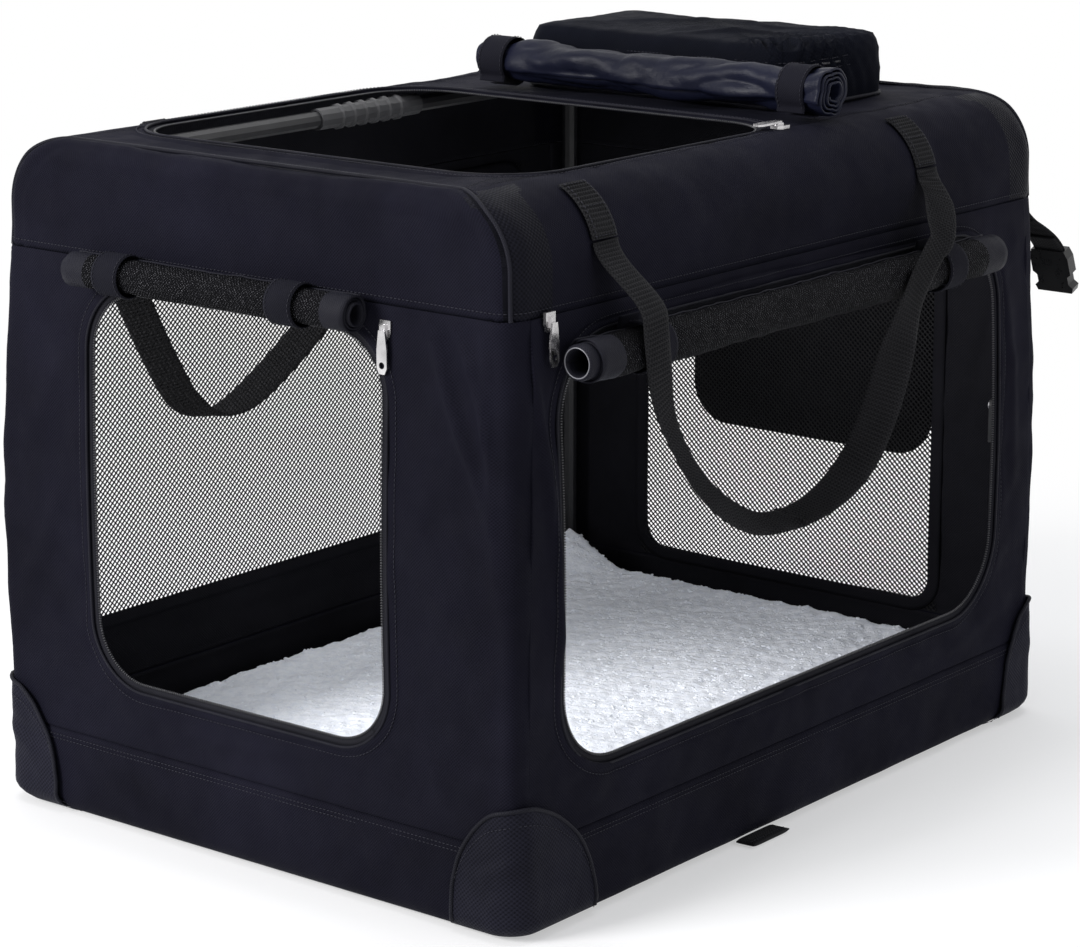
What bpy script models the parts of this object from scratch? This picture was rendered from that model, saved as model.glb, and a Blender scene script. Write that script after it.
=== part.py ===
"""Soft-sided folding dog crate.

Metres, +Z up. The origin is the middle of the base, on the ground. The long
side is along X. The door end faces -X, and the long side with a door faces -Y.
Fabric bands at the bottom and the top stay stiff. The four walls between them
crumple when the steel hoops inside break at their knees.
"""
import math

import bmesh
import bpy
from mathutils import Vector

# Driving dimensions of the cover
LENGTH = 0.600
WIDTH = 0.440
HEIGHT = 0.460
CLOTH = 0.003            # thickness of the quilted cover
FLOOR = 0.005            # thickness of the padded floor
CORNER_R = 0.014         # upright corners, seen from above
SHOULDER_R = 0.045       # rounding of the roof's long edges
BASE_BAND = 0.060        # height of the lower seam
ROOF_BAND = 0.073        # depth of the roof below the top
GAP = 0.0003             # between pieces that touch
RUN = 0.0003             # running clearance at a pivot

# Steel frame
TUBE_R = 0.006
BEND_R = 0.0250          # hoop corners, small enough to turn under the roof's shoulder
EYE_R = 0.0095           # outer radius of a rail's eye round a hoop
EYE_W = 0.014
RAIL_INSET = 0.060       # from the outside of the crate to a rail's middle
EAR_R = 0.0056           # half width of the knee's ears and tongue
KNEE_REACH = 0.024       # from the knee pin to the full tube
TONGUE_HALF = 0.0028
RIVET_R = 0.0022
RIVET_HEAD_R = 0.0040
RIVET_HEAD_T = 0.0014
GRIP_LENGTH = 0.107
GRIP_R = 0.0078
RIB_R = 0.0092
RIB_COUNT = 6
RIB_PITCH = 0.0125
RIB_WIDTH = 0.0045

# Doors and windows: margins from the ends or sides of the crate, first the
# one at its lower coordinate, and margins from the two seams
FRONT_DOOR_SIDES = (0.097, 0.083)
FRONT_DOOR_SEAMS = (0.040, 0.012)
FRONT_DOOR_R = 0.045
SIDE_DOOR_ENDS = (0.038, 0.057)
SIDE_DOOR_SEAMS = (0.035, 0.015)
SIDE_DOOR_R = 0.055
TOP_DOOR_ENDS = (0.060, 0.242)
TOP_DOOR_SIDES = (0.048, 0.048)
TOP_DOOR_R = 0.050
FAR_WINDOW_ENDS = (0.060, 0.060)
FAR_WINDOW_SEAMS = (0.048, 0.017)
REAR_WINDOW_SIDES = (0.083, 0.088)
REAR_WINDOW_SEAMS = (0.007, 0.017)
WINDOW_R = 0.020
NET_T = 0.0010
NET_BORDER = 0.006
STRAND = 0.0045
NET_LAP = 0.005          # how far a net reaches past its window, inside
FAR_NET_GAPS = (12, 7)
REAR_NET_GAPS = (7, 8)

# Rolled doors: radius, sheet and the step from turn to turn
DOOR_SHEET = 0.0016
DOOR_PITCH = 0.0024
ROLL_CORE_R = 0.0045
ROLL_START_DEG = 60.0    # where the outer end of a rolled door lies
FLAP_START_DEG = 200.0
FRONT_ROLL_R = 0.012
FRONT_ROLL_SHORT = 0.017  # by how much the roll is shorter than its door
FRONT_ROLL_BELOW = 0.004  # from the upper seam down to the roll's middle
SIDE_ROLL_R = 0.015
SIDE_ROLL_SHORT = 0.038
SIDE_ROLL_BELOW = 0.027
TOP_ROLL_R = 0.018
TOP_ROLL_SIDES = (0.035, 0.095)
TOP_ROLL_GAP = 0.008     # from the top door's edge to the roll
BAND_T = 0.0014
BAND_W = 0.022
BAND_TAB = 0.012         # how far a band's tab reaches over the seam
FRONT_BAND_INSETS = (0.050, 0.043)  # from the roll's ends to the bands' middles
SIDE_BAND_INSETS = (0.068, 0.065)
TOP_BAND_INSETS = (0.025, 0.025)

# Pouch on the roof
POUCH_ENDS = (0.075, 0.192)  # from the rear end to the pouch's two edges
POUCH_SIDES = (0.098, 0.122)
POUCH_H = 0.050
POUCH_CROWN = 0.006
POUCH_R = 0.016

# Carry handles of webbing
WEB_W = 0.025
WEB_T = 0.0018
HANDLE_X = 0.180         # where each end is sewn, either side of the handle's middle
HANDLE_MIDDLES = {"near": -0.030, "far": 0.0}
HANDLE_DROP = 0.200      # from the sewn edge to the bight
HANDLE_BELOW = 0.035     # from the top down to the sewn edge
HANDLE_TAB_DEG = 64.0    # how far round the shoulder the sewn end runs
HANDLE_END_CLEAR = 0.0008  # between the swinging end's axis and the sewn end
# Points that each loop passes through: along X from its middle, and share of the drop
HANDLE_RUNS = {
    "near": ((-0.180, 0.0), (-0.180, 0.03), (-0.1796, 0.07), (-0.175, 0.30), (-0.165, 0.52),
             (-0.142, 0.74), (-0.108, 0.90), (-0.062, 0.99), (-0.015, 0.99), (0.030, 0.91),
             (0.066, 0.77), (0.098, 0.59), (0.125, 0.40), (0.155, 0.22), (0.1792, 0.07),
             (0.180, 0.03), (0.180, 0.0)),
    "far": ((-0.180, 0.0), (-0.180, 0.03), (-0.1794, 0.07), (-0.168, 0.25), (-0.146, 0.43),
            (-0.122, 0.64), (-0.098, 0.84), (-0.074, 0.98), (-0.046, 1.0), (-0.015, 0.93),
            (0.030, 0.80), (0.078, 0.62), (0.122, 0.42), (0.159, 0.23), (0.1792, 0.07),
            (0.180, 0.03), (0.180, 0.0)),
}
HANDLE_LEAVE = 4.5       # how soon the loop leaves the wall
HANDLE_FLAT = 0.35       # share of the drop before the webbing starts to twist
HANDLE_STEPS = 2         # from each of those points to the next

# Zips
SLIDER_W = 0.009
SLIDER_H = 0.012
SLIDER_T = 0.0042
SLIDER_BODY_T = 0.0026
BRIDGE_SINK = 0.0004     # how far the bridge reaches into the slider's body
PULL_W = 0.008
PULL_L = 0.027
PULL_T = 0.0014
PULL_HOLE_R = 0.0022
FRONT_ZIP_INSET = 0.002  # from the front door's side edge, inward
FRONT_ZIP_BELOW = 0.003  # from its upper edge
SIDE_ZIP_OUTSET = 0.007  # from the side door's end edge, outward
SIDE_ZIP_BELOW = 0.0025  # from the seam, high enough to clear a corner patch when folded
TOP_ZIP_INSET = 0.001
TOP_ZIP_FROM_END = 0.018

# Closing strap on the rear end, as steps outward and upward from its sewn end
STRAP_INSET = 0.030
STRAP_SWING_CLEAR = 0.00005  # left when the strap's end has turned flat to the wall
STRAP_ABOVE = 0.009      # from the upper seam
STRAP_RUN = ((0.000, 0.0000), (0.015, 0.0035), (0.030, 0.0010), (0.043, -0.009),
             (0.053, -0.025), (0.061, -0.043), (0.068, -0.060))
BUCKLE_W = 0.032
BUCKLE_L = 0.036
BUCKLE_T = 0.009
BUCKLE_NOSE = 0.006

# Rear pocket, ground tab, corner patches
POCKET_SIDES = (0.085, 0.132)
POCKET_SEAMS = (0.118, 0.015)
POCKET_R = 0.030
POCKET_T = 0.008
TAB_X = (-0.071, -0.029)
TAB_REACH = 0.016
TAB_T = 0.003
PATCH_T = 0.0012
PATCH_H = 0.078
PATCH_END = 0.048        # reach along the end wall
PATCH_SIDE = (0.084, 0.048)  # reach along the long side, door end and rear end

# Floor board and fleece mat
BOARD_T = 0.004
MAT_END_CLEAR = 0.0057   # from the rails' eyes
MAT_SIDE_CLEAR = 0.0028  # from the knee rivets, which pass beside the mat
MAT_H = 0.027
MAT_CROWN = 0.006
MAT_R = 0.030

# Cushions: rounding of their edges, and how far their sides are drawn in
EDGE_SOFT = 0.006
TUCK = 0.004

# Construction
CUT = 0.010              # how far a cutter runs past what it cuts
SINK = 0.001             # how far a tube runs into the piece it is joined to
KNEE_LAP = 0.003         # how far the knee's ears run into the tube

# Places that follow from the sizes above
HALF_X = LENGTH / 2
HALF_Y = WIDTH / 2
SEAM_TOP = HEIGHT - ROOF_BAND
INNER_X = HALF_X - CLOTH
INNER_Y = HALF_Y - CLOTH
RAIL_Y = HALF_Y - RAIL_INSET
PIVOT_X = INNER_X - GAP - EYE_R
PIVOT_LOW = FLOOR + GAP + EYE_R
PIVOT_HIGH = HEIGHT - CLOTH - GAP - EYE_R
KNEE_Z = (PIVOT_LOW + PIVOT_HIGH) / 2
ARC_Y = HALF_Y - SHOULDER_R
ARC_Z = HEIGHT - SHOULDER_R
LEG_Y = ARC_Y + BEND_R
MAT_X = PIVOT_X - EYE_R - MAT_END_CLEAR
MAT_Y = LEG_Y - TUBE_R - GAP - RIVET_HEAD_T - MAT_SIDE_CLEAR
HANDLE_PIVOT_Y = HALF_Y + GAP + WEB_T / 2
HANDLE_PIVOT_Z = HEIGHT - HANDLE_BELOW


def span(half, margins):
    """Range along X or Y between two margins from the crate's outside."""
    return margins[0] - half, half - margins[1]


def between_seams(margins):
    return BASE_BAND + margins[0], SEAM_TOP - margins[1]


FRONT_DOOR_Y = span(HALF_Y, FRONT_DOOR_SIDES)
FRONT_DOOR_Z = between_seams(FRONT_DOOR_SEAMS)
SIDE_DOOR_X = span(HALF_X, SIDE_DOOR_ENDS)
SIDE_DOOR_Z = between_seams(SIDE_DOOR_SEAMS)
TOP_DOOR_X = span(HALF_X, TOP_DOOR_ENDS)
TOP_DOOR_Y = span(HALF_Y, TOP_DOOR_SIDES)
FAR_WINDOW_X = span(HALF_X, FAR_WINDOW_ENDS)
FAR_WINDOW_Z = between_seams(FAR_WINDOW_SEAMS)
REAR_WINDOW_Y = span(HALF_Y, REAR_WINDOW_SIDES)
REAR_WINDOW_Z = between_seams(REAR_WINDOW_SEAMS)
FRONT_ROLL_Y = (FRONT_DOOR_Y[0] + FRONT_ROLL_SHORT, FRONT_DOOR_Y[1])
FRONT_ROLL_Z = SEAM_TOP - FRONT_ROLL_BELOW
SIDE_ROLL_X = (SIDE_DOOR_X[0], SIDE_DOOR_X[1] - SIDE_ROLL_SHORT)
SIDE_ROLL_Z = SEAM_TOP - SIDE_ROLL_BELOW
TOP_ROLL_Y = span(HALF_Y, TOP_ROLL_SIDES)
TOP_ROLL_X = TOP_DOOR_X[1] + TOP_ROLL_GAP + TOP_ROLL_R
POUCH_X = (HALF_X - POUCH_ENDS[1], HALF_X - POUCH_ENDS[0])
POUCH_Y = span(HALF_Y, POUCH_SIDES)
POCKET_Y = span(HALF_Y, POCKET_SIDES)
POCKET_Z = between_seams(POCKET_SEAMS)
STRAP_X = HALF_X + WEB_T / 2 + STRAP_SWING_CLEAR
STRAP_Y = STRAP_INSET - HALF_Y
STRAP_Z = SEAM_TOP + STRAP_ABOVE
FRONT_ZIP = (-HALF_X, FRONT_DOOR_Y[0] + FRONT_ZIP_INSET, FRONT_DOOR_Z[1] - FRONT_ZIP_BELOW)
SIDE_ZIP = (SIDE_DOOR_X[0] - SIDE_ZIP_OUTSET, -HALF_Y, SEAM_TOP - SIDE_ZIP_BELOW)
TOP_ZIP = (TOP_DOOR_X[1] - TOP_ZIP_FROM_END, TOP_DOOR_Y[0] + TOP_ZIP_INSET, HEIGHT)
ROUND = 10               # sides of a frame tube


def material(name, colour, roughness, metallic=0.0):
    mat = bpy.data.materials.new(name)
    mat.use_nodes = True
    shader = mat.node_tree.nodes["Principled BSDF"]
    shader.inputs["Base Color"].default_value = (*colour, 1.0)
    shader.inputs["Roughness"].default_value = roughness
    shader.inputs["Metallic"].default_value = metallic
    return mat


def rounded(a, b, radius, steps=6):
    """Outline of a rounded rectangle between two ranges, anticlockwise."""
    corners = [(a[1], b[0], -90), (a[1], b[1], 0), (a[0], b[1], 90), (a[0], b[0], 180)]
    points = []
    for u, v, start in corners:
        cu = u - radius if u == a[1] else u + radius
        cv = v - radius if v == b[1] else v + radius
        for k in range(steps + 1):
            t = math.radians(start + 90 * k / steps)
            points.append((cu + radius * math.cos(t), cv + radius * math.sin(t)))
    return points


def arc(centre, radius, start, end, steps):
    """Points on a circle from one angle to another, in degrees."""
    turn = [math.radians(start + (end - start) * k / steps) for k in range(steps + 1)]
    return [(centre[0] + radius * math.cos(t), centre[1] + radius * math.sin(t)) for t in turn]


def in_plane(plane, a, b, depth):
    """A point given by two coordinates in a plane and one across it."""
    if plane == "XY":
        return Vector((a, b, depth))
    if plane == "XZ":
        return Vector((a, depth, b))
    return Vector((depth, a, b))


def pivot(name, place):
    """An empty on a joint's axis, which carries the pieces of its body."""
    empty = bpy.data.objects.new(name, None)
    empty.location = place
    empty.empty_display_size = 0.02
    bpy.context.scene.collection.objects.link(empty)
    return empty


def solid(name, bm, mat, parent=None, smooth=False):
    """Turns a bmesh in world coordinates into an object under its pivot."""
    bmesh.ops.remove_doubles(bm, verts=bm.verts, dist=1e-6)
    bmesh.ops.recalc_face_normals(bm, faces=bm.faces)
    mesh = bpy.data.meshes.new(name)
    bm.to_mesh(mesh)
    bm.free()
    if smooth:
        mesh.shade_smooth()
        mesh.set_sharp_from_angle(angle=math.radians(40))
    obj = bpy.data.objects.new(name, mesh)
    bpy.context.scene.collection.objects.link(obj)
    if mat:
        mesh.materials.append(mat)
    if parent:
        for vertex in mesh.vertices:
            vertex.co -= parent.location
        obj.parent = parent
    return obj


def guide(obj):
    """Marks an object as a cutter that isn't part of the crate."""
    obj.hide_render = True
    obj.display_type = "WIRE"
    return obj


def combine(obj, other, operation):
    mod = obj.modifiers.new(operation.lower(), "BOOLEAN")
    mod.operation = operation
    mod.solver = "EXACT"
    mod.object = guide(other)
    return obj


def loft(rings):
    """Joins rings of points that have the same count, with flat ends."""
    bm = bmesh.new()
    loops = [[bm.verts.new(p) for p in ring] for ring in rings]
    count = len(loops[0])
    for low, high in zip(loops, loops[1:]):
        for k in range(count):
            n = (k + 1) % count
            bm.faces.new((low[k], low[n], high[n], high[k]))
    bm.faces.new(list(reversed(loops[0])))
    bm.faces.new(loops[-1])
    return bm


def extrude(outline, plane, low, high):
    """A prism: an outline in a plane, from one depth to another."""
    return loft([[in_plane(plane, a, b, d) for a, b in outline] for d in (low, high)])


def sweep(path, across, section):
    """Carries a section along a path. Its first axis is the direction across."""
    last = len(path) - 1
    rings = []
    for k, point in enumerate(path):
        ahead, behind = path[min(k + 1, last)], path[max(k - 1, 0)]
        along = (ahead - behind).normalized()
        wide = across[k] if isinstance(across, list) else across
        wide = (wide - along * wide.dot(along)).normalized()
        thick = along.cross(wide)
        rings.append([point + wide * a + thick * b for a, b in section])
    return loft(rings)


def split_alike(bm):
    """Splits the quads of a thin swept strip into triangles.

    The folds on its two broad sides lie over each other, so the sides of a
    twisted strip can't pass through each other.
    """
    for k, face in enumerate(list(bm.faces)[:-2]):
        low, next_low, next_high, high = face.verts
        ends = (next_low, high) if k % 4 == 2 else (low, next_high)
        bmesh.utils.face_split(face, *ends)
    return bm


def circle(radius, sides=ROUND):
    step = 2 * math.pi / sides
    return [(radius * math.cos(k * step), radius * math.sin(k * step)) for k in range(sides)]


def rectangle(width, thickness):
    w, t = width / 2, thickness / 2
    return [(-w, -t), (w, -t), (w, t), (-w, t)]


def rod(axis, centre, radius, low, high, sides=ROUND):
    """A round bar along an axis. The centre holds the two other coordinates."""
    plane = {"X": "YZ", "Y": "XZ", "Z": "XY"}[axis]
    ring = [(centre[0] + a, centre[1] + b) for a, b in circle(radius, sides)]
    return extrude(ring, plane, low, high)


def scratch(name, bm):
    """A shape that only takes part in a Boolean."""
    return guide(solid(name, bm, None))


def half_hoop(name, end, upper, steel, parent):
    """Half of an end frame: a bar across the crate and a leg on either side.

    The lower half ends in pairs of ears and the upper half in tongues.
    """
    x = end * PIVOT_X
    bar_z = PIVOT_HIGH if upper else PIVOT_LOW
    sign = -1 if upper else 1
    tube_end = KNEE_Z - sign * KNEE_REACH
    start = 90 if upper else -90
    right = arc((ARC_Y, bar_z + sign * BEND_R), BEND_R, start, 0, 5)
    half = [(0.0, bar_z)] + right + [(LEG_Y, tube_end)]
    path = [Vector((x, -y, z)) for y, z in reversed(half[1:])]
    path += [Vector((x, y, z)) for y, z in half]
    bm = sweep(path, Vector((1, 0, 0)), circle(TUBE_R))
    hoop = solid(name, bm, steel, parent, smooth=True)
    layers = [(-TONGUE_HALF, TONGUE_HALF)]
    if not upper:
        inner = TONGUE_HALF + RUN
        layers = [(-TUBE_R, -inner), (inner, TUBE_R)]
    for side in (-1, 1):
        for low, high in layers:
            sweep_deg = (0, 180) if not upper else (180, 360)
            tip = arc((x, KNEE_Z), EAR_R, *sweep_deg, 8)
            foot_z = tube_end - sign * KNEE_LAP
            outline = tip + [(tip[-1][0], foot_z), (tip[0][0], foot_z)]
            ear = extrude(outline, "XZ", side * LEG_Y + low, side * LEG_Y + high)
            combine(hoop, scratch(f"ear_{name}", ear), "UNION")
        bore = rod("Y", (x, KNEE_Z), RIVET_R + RUN, side * LEG_Y - CUT, side * LEG_Y + CUT, 12)
        combine(hoop, scratch(f"bore_{name}", bore), "DIFFERENCE")
    return hoop


def knee_rivet(name, end, side, steel, parent):
    """Pin with a head on both sides of the knee's ears."""
    x = end * PIVOT_X
    reach = TUBE_R + GAP
    profile = [(RIVET_HEAD_R, -reach - RIVET_HEAD_T), (RIVET_HEAD_R, -reach),
               (RIVET_R, -reach), (RIVET_R, reach),
               (RIVET_HEAD_R, reach), (RIVET_HEAD_R, reach + RIVET_HEAD_T)]
    rings = []
    for radius, y in profile:
        ring = circle(radius, 12)
        rings.append([Vector((x + a, side * LEG_Y + y, KNEE_Z + b)) for a, b in ring])
    return solid(name, loft(rings), steel, parent, smooth=True)


def rail(name, side, z, steel, parent=None):
    """Long tube whose formed ends turn round the two hoops' bars."""
    y = side * RAIL_Y
    reach = PIVOT_X - EYE_R + SINK
    bar = solid(name, rod("X", (y, z), TUBE_R, -reach, reach), steel, parent, smooth=True)
    for end in (-1, 1):
        low, high = y - EYE_W / 2, y + EYE_W / 2
        eye = rod("Y", (end * PIVOT_X, z), EYE_R, low, high, 16)
        combine(bar, scratch(f"eye_{name}", eye), "UNION")
    for end in (-1, 1):
        bore = rod("Y", (end * PIVOT_X, z), TUBE_R + RUN, y - EYE_W, y + EYE_W, 16)
        combine(bar, scratch(f"bore_{name}", bore), "DIFFERENCE")
    return bar


def ribbed_grip(name, side, rubber, parent):
    """Moulded sleeve on the middle of a roof rail, with raised ribs."""
    y, z = side * RAIL_Y, PIVOT_HIGH
    stations = [(-GRIP_LENGTH / 2, GRIP_R)]
    first = -(RIB_COUNT - 1) / 2 * RIB_PITCH
    for k in range(RIB_COUNT):
        middle = first + k * RIB_PITCH
        stations += [(middle - RIB_WIDTH / 2, GRIP_R), (middle - RIB_WIDTH / 4, RIB_R),
                     (middle + RIB_WIDTH / 4, RIB_R), (middle + RIB_WIDTH / 2, GRIP_R)]
    stations.append((GRIP_LENGTH / 2, GRIP_R))
    rings = []
    for x, radius in stations:
        rings.append([Vector((x, y + a, z + b)) for a, b in circle(radius, 12)])
    sleeve = solid(name, loft(rings), rubber, parent, smooth=True)
    bore = rod("X", (y, z), TUBE_R + GAP, -GRIP_LENGTH, GRIP_LENGTH, 12)
    return combine(sleeve, scratch(f"bore_{name}", bore), "DIFFERENCE")


def plan(inset, radius):
    """The crate's outline seen from above, drawn in by an inset."""
    return rounded((inset - HALF_X, HALF_X - inset), (inset - HALF_Y, HALF_Y - inset), radius)


def base_tray(cloth):
    """Padded floor with the stiff band up to the lower seam."""
    tray = solid("base_tray", extrude(plan(0, CORNER_R), "XY", 0, BASE_BAND - GAP), cloth)
    inner = extrude(plan(CLOTH, CORNER_R - CLOTH), "XY", FLOOR, BASE_BAND + CUT)
    return combine(tray, scratch("tray_inside", inner), "DIFFERENCE")


def arch(inset, past):
    """The roof's section across the crate, with its rounded shoulders."""
    radius = SHOULDER_R - inset
    low = SEAM_TOP - past
    wide = HALF_Y + CUT
    right = arc((ARC_Y, ARC_Z), radius, 0, 90, 7)
    left = [(-y, z) for y, z in reversed(right)]
    return [(-wide, low), (wide, low), (wide, ARC_Z)] + right + left + [(-wide, ARC_Z)]


def roof_cover(cloth, parent):
    """Stiff roof with the band above the upper seam and the top door's hole."""
    reach = HALF_X + CUT
    roof = solid("roof_cover", extrude(plan(0, CORNER_R), "XY", SEAM_TOP, HEIGHT + CUT),
                 cloth, parent)
    outer = extrude(arch(0, CUT), "YZ", -reach, reach)
    combine(roof, scratch("roof_outside", outer), "INTERSECT")
    inside = scratch("roof_inside", extrude(plan(CLOTH, CORNER_R - CLOTH), "XY",
                                            SEAM_TOP - CUT, HEIGHT + CUT))
    hollow = extrude(arch(CLOTH, 2 * CUT), "YZ", -reach, reach)
    combine(inside, scratch("roof_hollow", hollow), "INTERSECT")
    combine(roof, inside, "DIFFERENCE")
    door = extrude(rounded(TOP_DOOR_X, TOP_DOOR_Y, TOP_DOOR_R), "XY", SEAM_TOP, HEIGHT + 2 * CUT)
    return combine(roof, scratch("top_door_hole", door), "DIFFERENCE")


def end_wall(name, end, opening, cloth):
    """End wall between the seams, with the crate's rounded upright corners."""
    join = HALF_X - CORNER_R
    outer = arc((join, HALF_Y - CORNER_R), CORNER_R, 90, 0, 6)
    inner = arc((join, HALF_Y - CORNER_R), CORNER_R - CLOTH, 0, 90, 6)
    half = outer + [(x, -y) for x, y in reversed(outer)]
    back = [(x, -y) for x, y in reversed(inner)] + inner
    outline = [(end * x, y) for x, y in half + back]
    wall = solid(name, extrude(outline, "XY", BASE_BAND, SEAM_TOP - GAP), cloth)
    low, high = sorted((end * (HALF_X - CUT), end * (HALF_X + CUT)))
    hole = extrude(opening, "YZ", low, high)
    return combine(wall, scratch(f"hole_{name}", hole), "DIFFERENCE")


def side_wall(name, side, opening, cloth):
    """Flat long wall between the seams and between the end walls."""
    reach = HALF_X - CORNER_R - GAP
    outline = [(-reach, BASE_BAND), (reach, BASE_BAND), (reach, SEAM_TOP - GAP),
               (-reach, SEAM_TOP - GAP)]
    low, high = sorted((side * HALF_Y, side * INNER_Y))
    wall = solid(name, extrude(outline, "XZ", low, high), cloth)
    hole = extrude(opening, "XZ", low - CUT, high + CUT)
    return combine(wall, scratch(f"hole_{name}", hole), "DIFFERENCE")


def lapped(window):
    return window[0] - NET_LAP, window[1] + NET_LAP


def net(name, plane, a, b, depth, gaps, yarn):
    """Flat net with a border: a lattice of strands with square gaps."""
    def lines(low, high, count):
        first, last = low + NET_BORDER, high - NET_BORDER
        step = (last - first + STRAND) / count
        marks = [low]
        for k in range(count):
            marks += [first + k * step, first + (k + 1) * step - STRAND]
        return marks + [high]

    across, up = lines(*a, gaps[0]), lines(*b, gaps[1])
    sides = (depth - NET_T / 2, depth + NET_T / 2)
    bm = bmesh.new()
    grid = [[[bm.verts.new(in_plane(plane, u, v, d)) for v in up] for u in across] for d in sides]
    cells_a, cells_b = len(across) - 1, len(up) - 1

    def filled(i, j):
        inside = 0 <= i < cells_a and 0 <= j < cells_b
        return inside and not (i % 2 == 1 and j % 2 == 1)

    for i in range(cells_a):
        for j in range(cells_b):
            if not filled(i, j):
                continue
            for face in grid:
                bm.faces.new((face[i][j], face[i + 1][j], face[i + 1][j + 1], face[i][j + 1]))
            edges = [((i, j), (i + 1, j), (i, j - 1)), ((i + 1, j), (i + 1, j + 1), (i + 1, j)),
                     ((i, j + 1), (i + 1, j + 1), (i, j + 1)), ((i, j), (i, j + 1), (i - 1, j))]
            for p, q, beyond in edges:
                if not filled(*beyond):
                    near, far = grid
                    bm.faces.new((near[p[0]][p[1]], near[q[0]][q[1]],
                                  far[q[0]][q[1]], far[p[0]][p[1]]))
    return solid(name, bm, yarn)


def spiral(radius, sheet, pitch, turn_sign, start_deg):
    """Section of a rolled sheet, from its outer end in to its core.

    The sheet's middle line steps in by one pitch a turn, so neighbouring turns
    lie a pitch less a sheet apart.
    """
    outer = radius - sheet / 2
    turns = (outer - ROLL_CORE_R) / pitch
    count = int(turns * 14)
    away, toward = [], []
    for k in range(count + 1):
        angle = math.radians(start_deg) + turn_sign * 2 * math.pi * turns * k / count
        middle = outer - pitch * turns * k / count
        for line, offset in ((away, sheet / 2), (toward, -sheet / 2)):
            r = middle + offset
            line.append((r * math.cos(angle), r * math.sin(angle)))
    return away + list(reversed(toward))


def rolled_sheet(name, axis, centre, radius, span, turn_sign, start_deg, cloth, parent):
    plane = {"X": "YZ", "Y": "XZ"}[axis]
    section = spiral(radius, DOOR_SHEET, DOOR_PITCH, turn_sign, start_deg)
    outline = [(centre[0] + a, centre[1] + b) for a, b in section]
    return solid(name, extrude(outline, plane, *span), cloth, parent, smooth=True)


def band_places(roll, insets):
    return roll[0] + insets[0], roll[1] - insets[1]


def roll_band(name, axis, centre, radius, middle, tab, cloth, parent):
    """Strip round a rolled door, with a flat tab sewn to the cover.

    The tab is given as its two ranges in the plane across the roll.
    """
    plane = {"X": "YZ", "Y": "XZ"}[axis]
    low, high = middle - BAND_W / 2, middle + BAND_W / 2
    outer = radius + GAP + BAND_T
    band = solid(name, rod(axis, centre, outer, low, high, 20), cloth, parent, smooth=True)
    (a0, a1), (b0, b1) = tab
    outline = [(a0, b0), (a1, b0), (a1, b1), (a0, b1)]
    combine(band, scratch(f"tab_{name}", extrude(outline, plane, low, high)), "UNION")
    bore = rod(axis, centre, radius + GAP, low - CUT, high + CUT, 20)
    return combine(band, scratch(f"bore_{name}", bore), "DIFFERENCE")


def cushion(name, x, y, z, radius, crown, cloth, parent=None):
    """A padded block: crowned above, flat below, its sides drawn in half way up."""
    levels = [(0.0, EDGE_SOFT), (0.12, EDGE_SOFT / 6), (0.35, 0.0), (0.5, TUCK), (0.65, 0.0),
              (0.88, EDGE_SOFT / 6), (1.0, EDGE_SOFT)]
    height = z[1] - z[0]
    middle_x, middle_y = (x[0] + x[1]) / 2, (y[0] + y[1]) / 2
    rings = []
    for share, inset in levels:
        a = (x[0] + inset, x[1] - inset)
        b = (y[0] + inset, y[1] - inset)
        level = z[0] + (height - crown) * share
        rings.append([Vector((u, v, level)) for u, v in rounded(a, b, radius - inset / 2, 5)])
    top = rings[-1]
    for share in (0.86, 0.68, 0.45, 0.2):
        rise = crown * (1 - share ** 2)
        rings.append([Vector((middle_x + (p.x - middle_x) * share,
                              middle_y + (p.y - middle_y) * share,
                              p.z + rise)) for p in top])
    return solid(name, loft(rings), cloth, parent, smooth=True)


def ease(share):
    """Goes from 0 to 1 with a level start and end."""
    return 3 * share ** 2 - 2 * share ** 3


def through(points, steps):
    """Points on a smooth curve through the given points, with steps to each span."""
    ends = [points[0], *points, points[-1]]
    curve = []
    for k in range(len(points) - 1):
        a, b, c, d = (Vector(p) for p in ends[k:k + 4])
        for i in range(steps):
            t = i / steps
            curve.append((b * 2 + (c - a) * t + (a * 2 - b * 5 + c * 4 - d) * t ** 2
                          + (b * 3 - a - c * 3 + d) * t ** 3) / 2)
    return curve + [Vector(points[-1])]


def handle_loop(name, side, middle, run, web, parent):
    """Webbing loop that hangs outside the long wall and turns at its bight.

    The ends lie flat on the wall. Toward the bight the webbing twists, so that
    its width points away from the wall.
    """
    clear_y = HALF_Y + 2 * (SIDE_ROLL_R + GAP + BAND_T) + GAP + WEB_T
    path, across = [], []
    for point in through(run, HANDLE_STEPS):
        fall = min(1.0, point.y)
        y = HANDLE_PIVOT_Y + (clear_y - HANDLE_PIVOT_Y) * ease(min(1.0, fall * HANDLE_LEAVE))
        path.append(Vector((middle + point.x, side * y, HANDLE_PIVOT_Z - HANDLE_DROP * fall)))
        twist = ease(max(0.0, fall - HANDLE_FLAT) / (1 - HANDLE_FLAT))
        across.append(Vector((1 - twist, -side * twist, 0)))
    bm = split_alike(sweep(path, across, rectangle(WEB_W, WEB_T)))
    return solid(name, bm, web, parent)


def handle_tab(name, side, x, web, parent):
    """Sewn end of a carry handle, curved over the roof's shoulder."""
    inner = SHOULDER_R + GAP
    outer = inner + WEB_T
    drop = HANDLE_PIVOT_Z + HANDLE_END_CLEAR
    low = [(HALF_Y + GAP, drop)] if drop < ARC_Z else []
    start = math.degrees(math.asin(max(0.0, (drop - ARC_Z)) / inner))
    inside = arc((ARC_Y, ARC_Z), inner, start, start + HANDLE_TAB_DEG, 6)
    outside = arc((ARC_Y, ARC_Z), outer, start + HANDLE_TAB_DEG, start, 6)
    outline = [(side * y, z) for y, z in low + inside + outside]
    return solid(name, extrude(outline, "YZ", x - WEB_W / 2, x + WEB_W / 2), web, parent)


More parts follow.
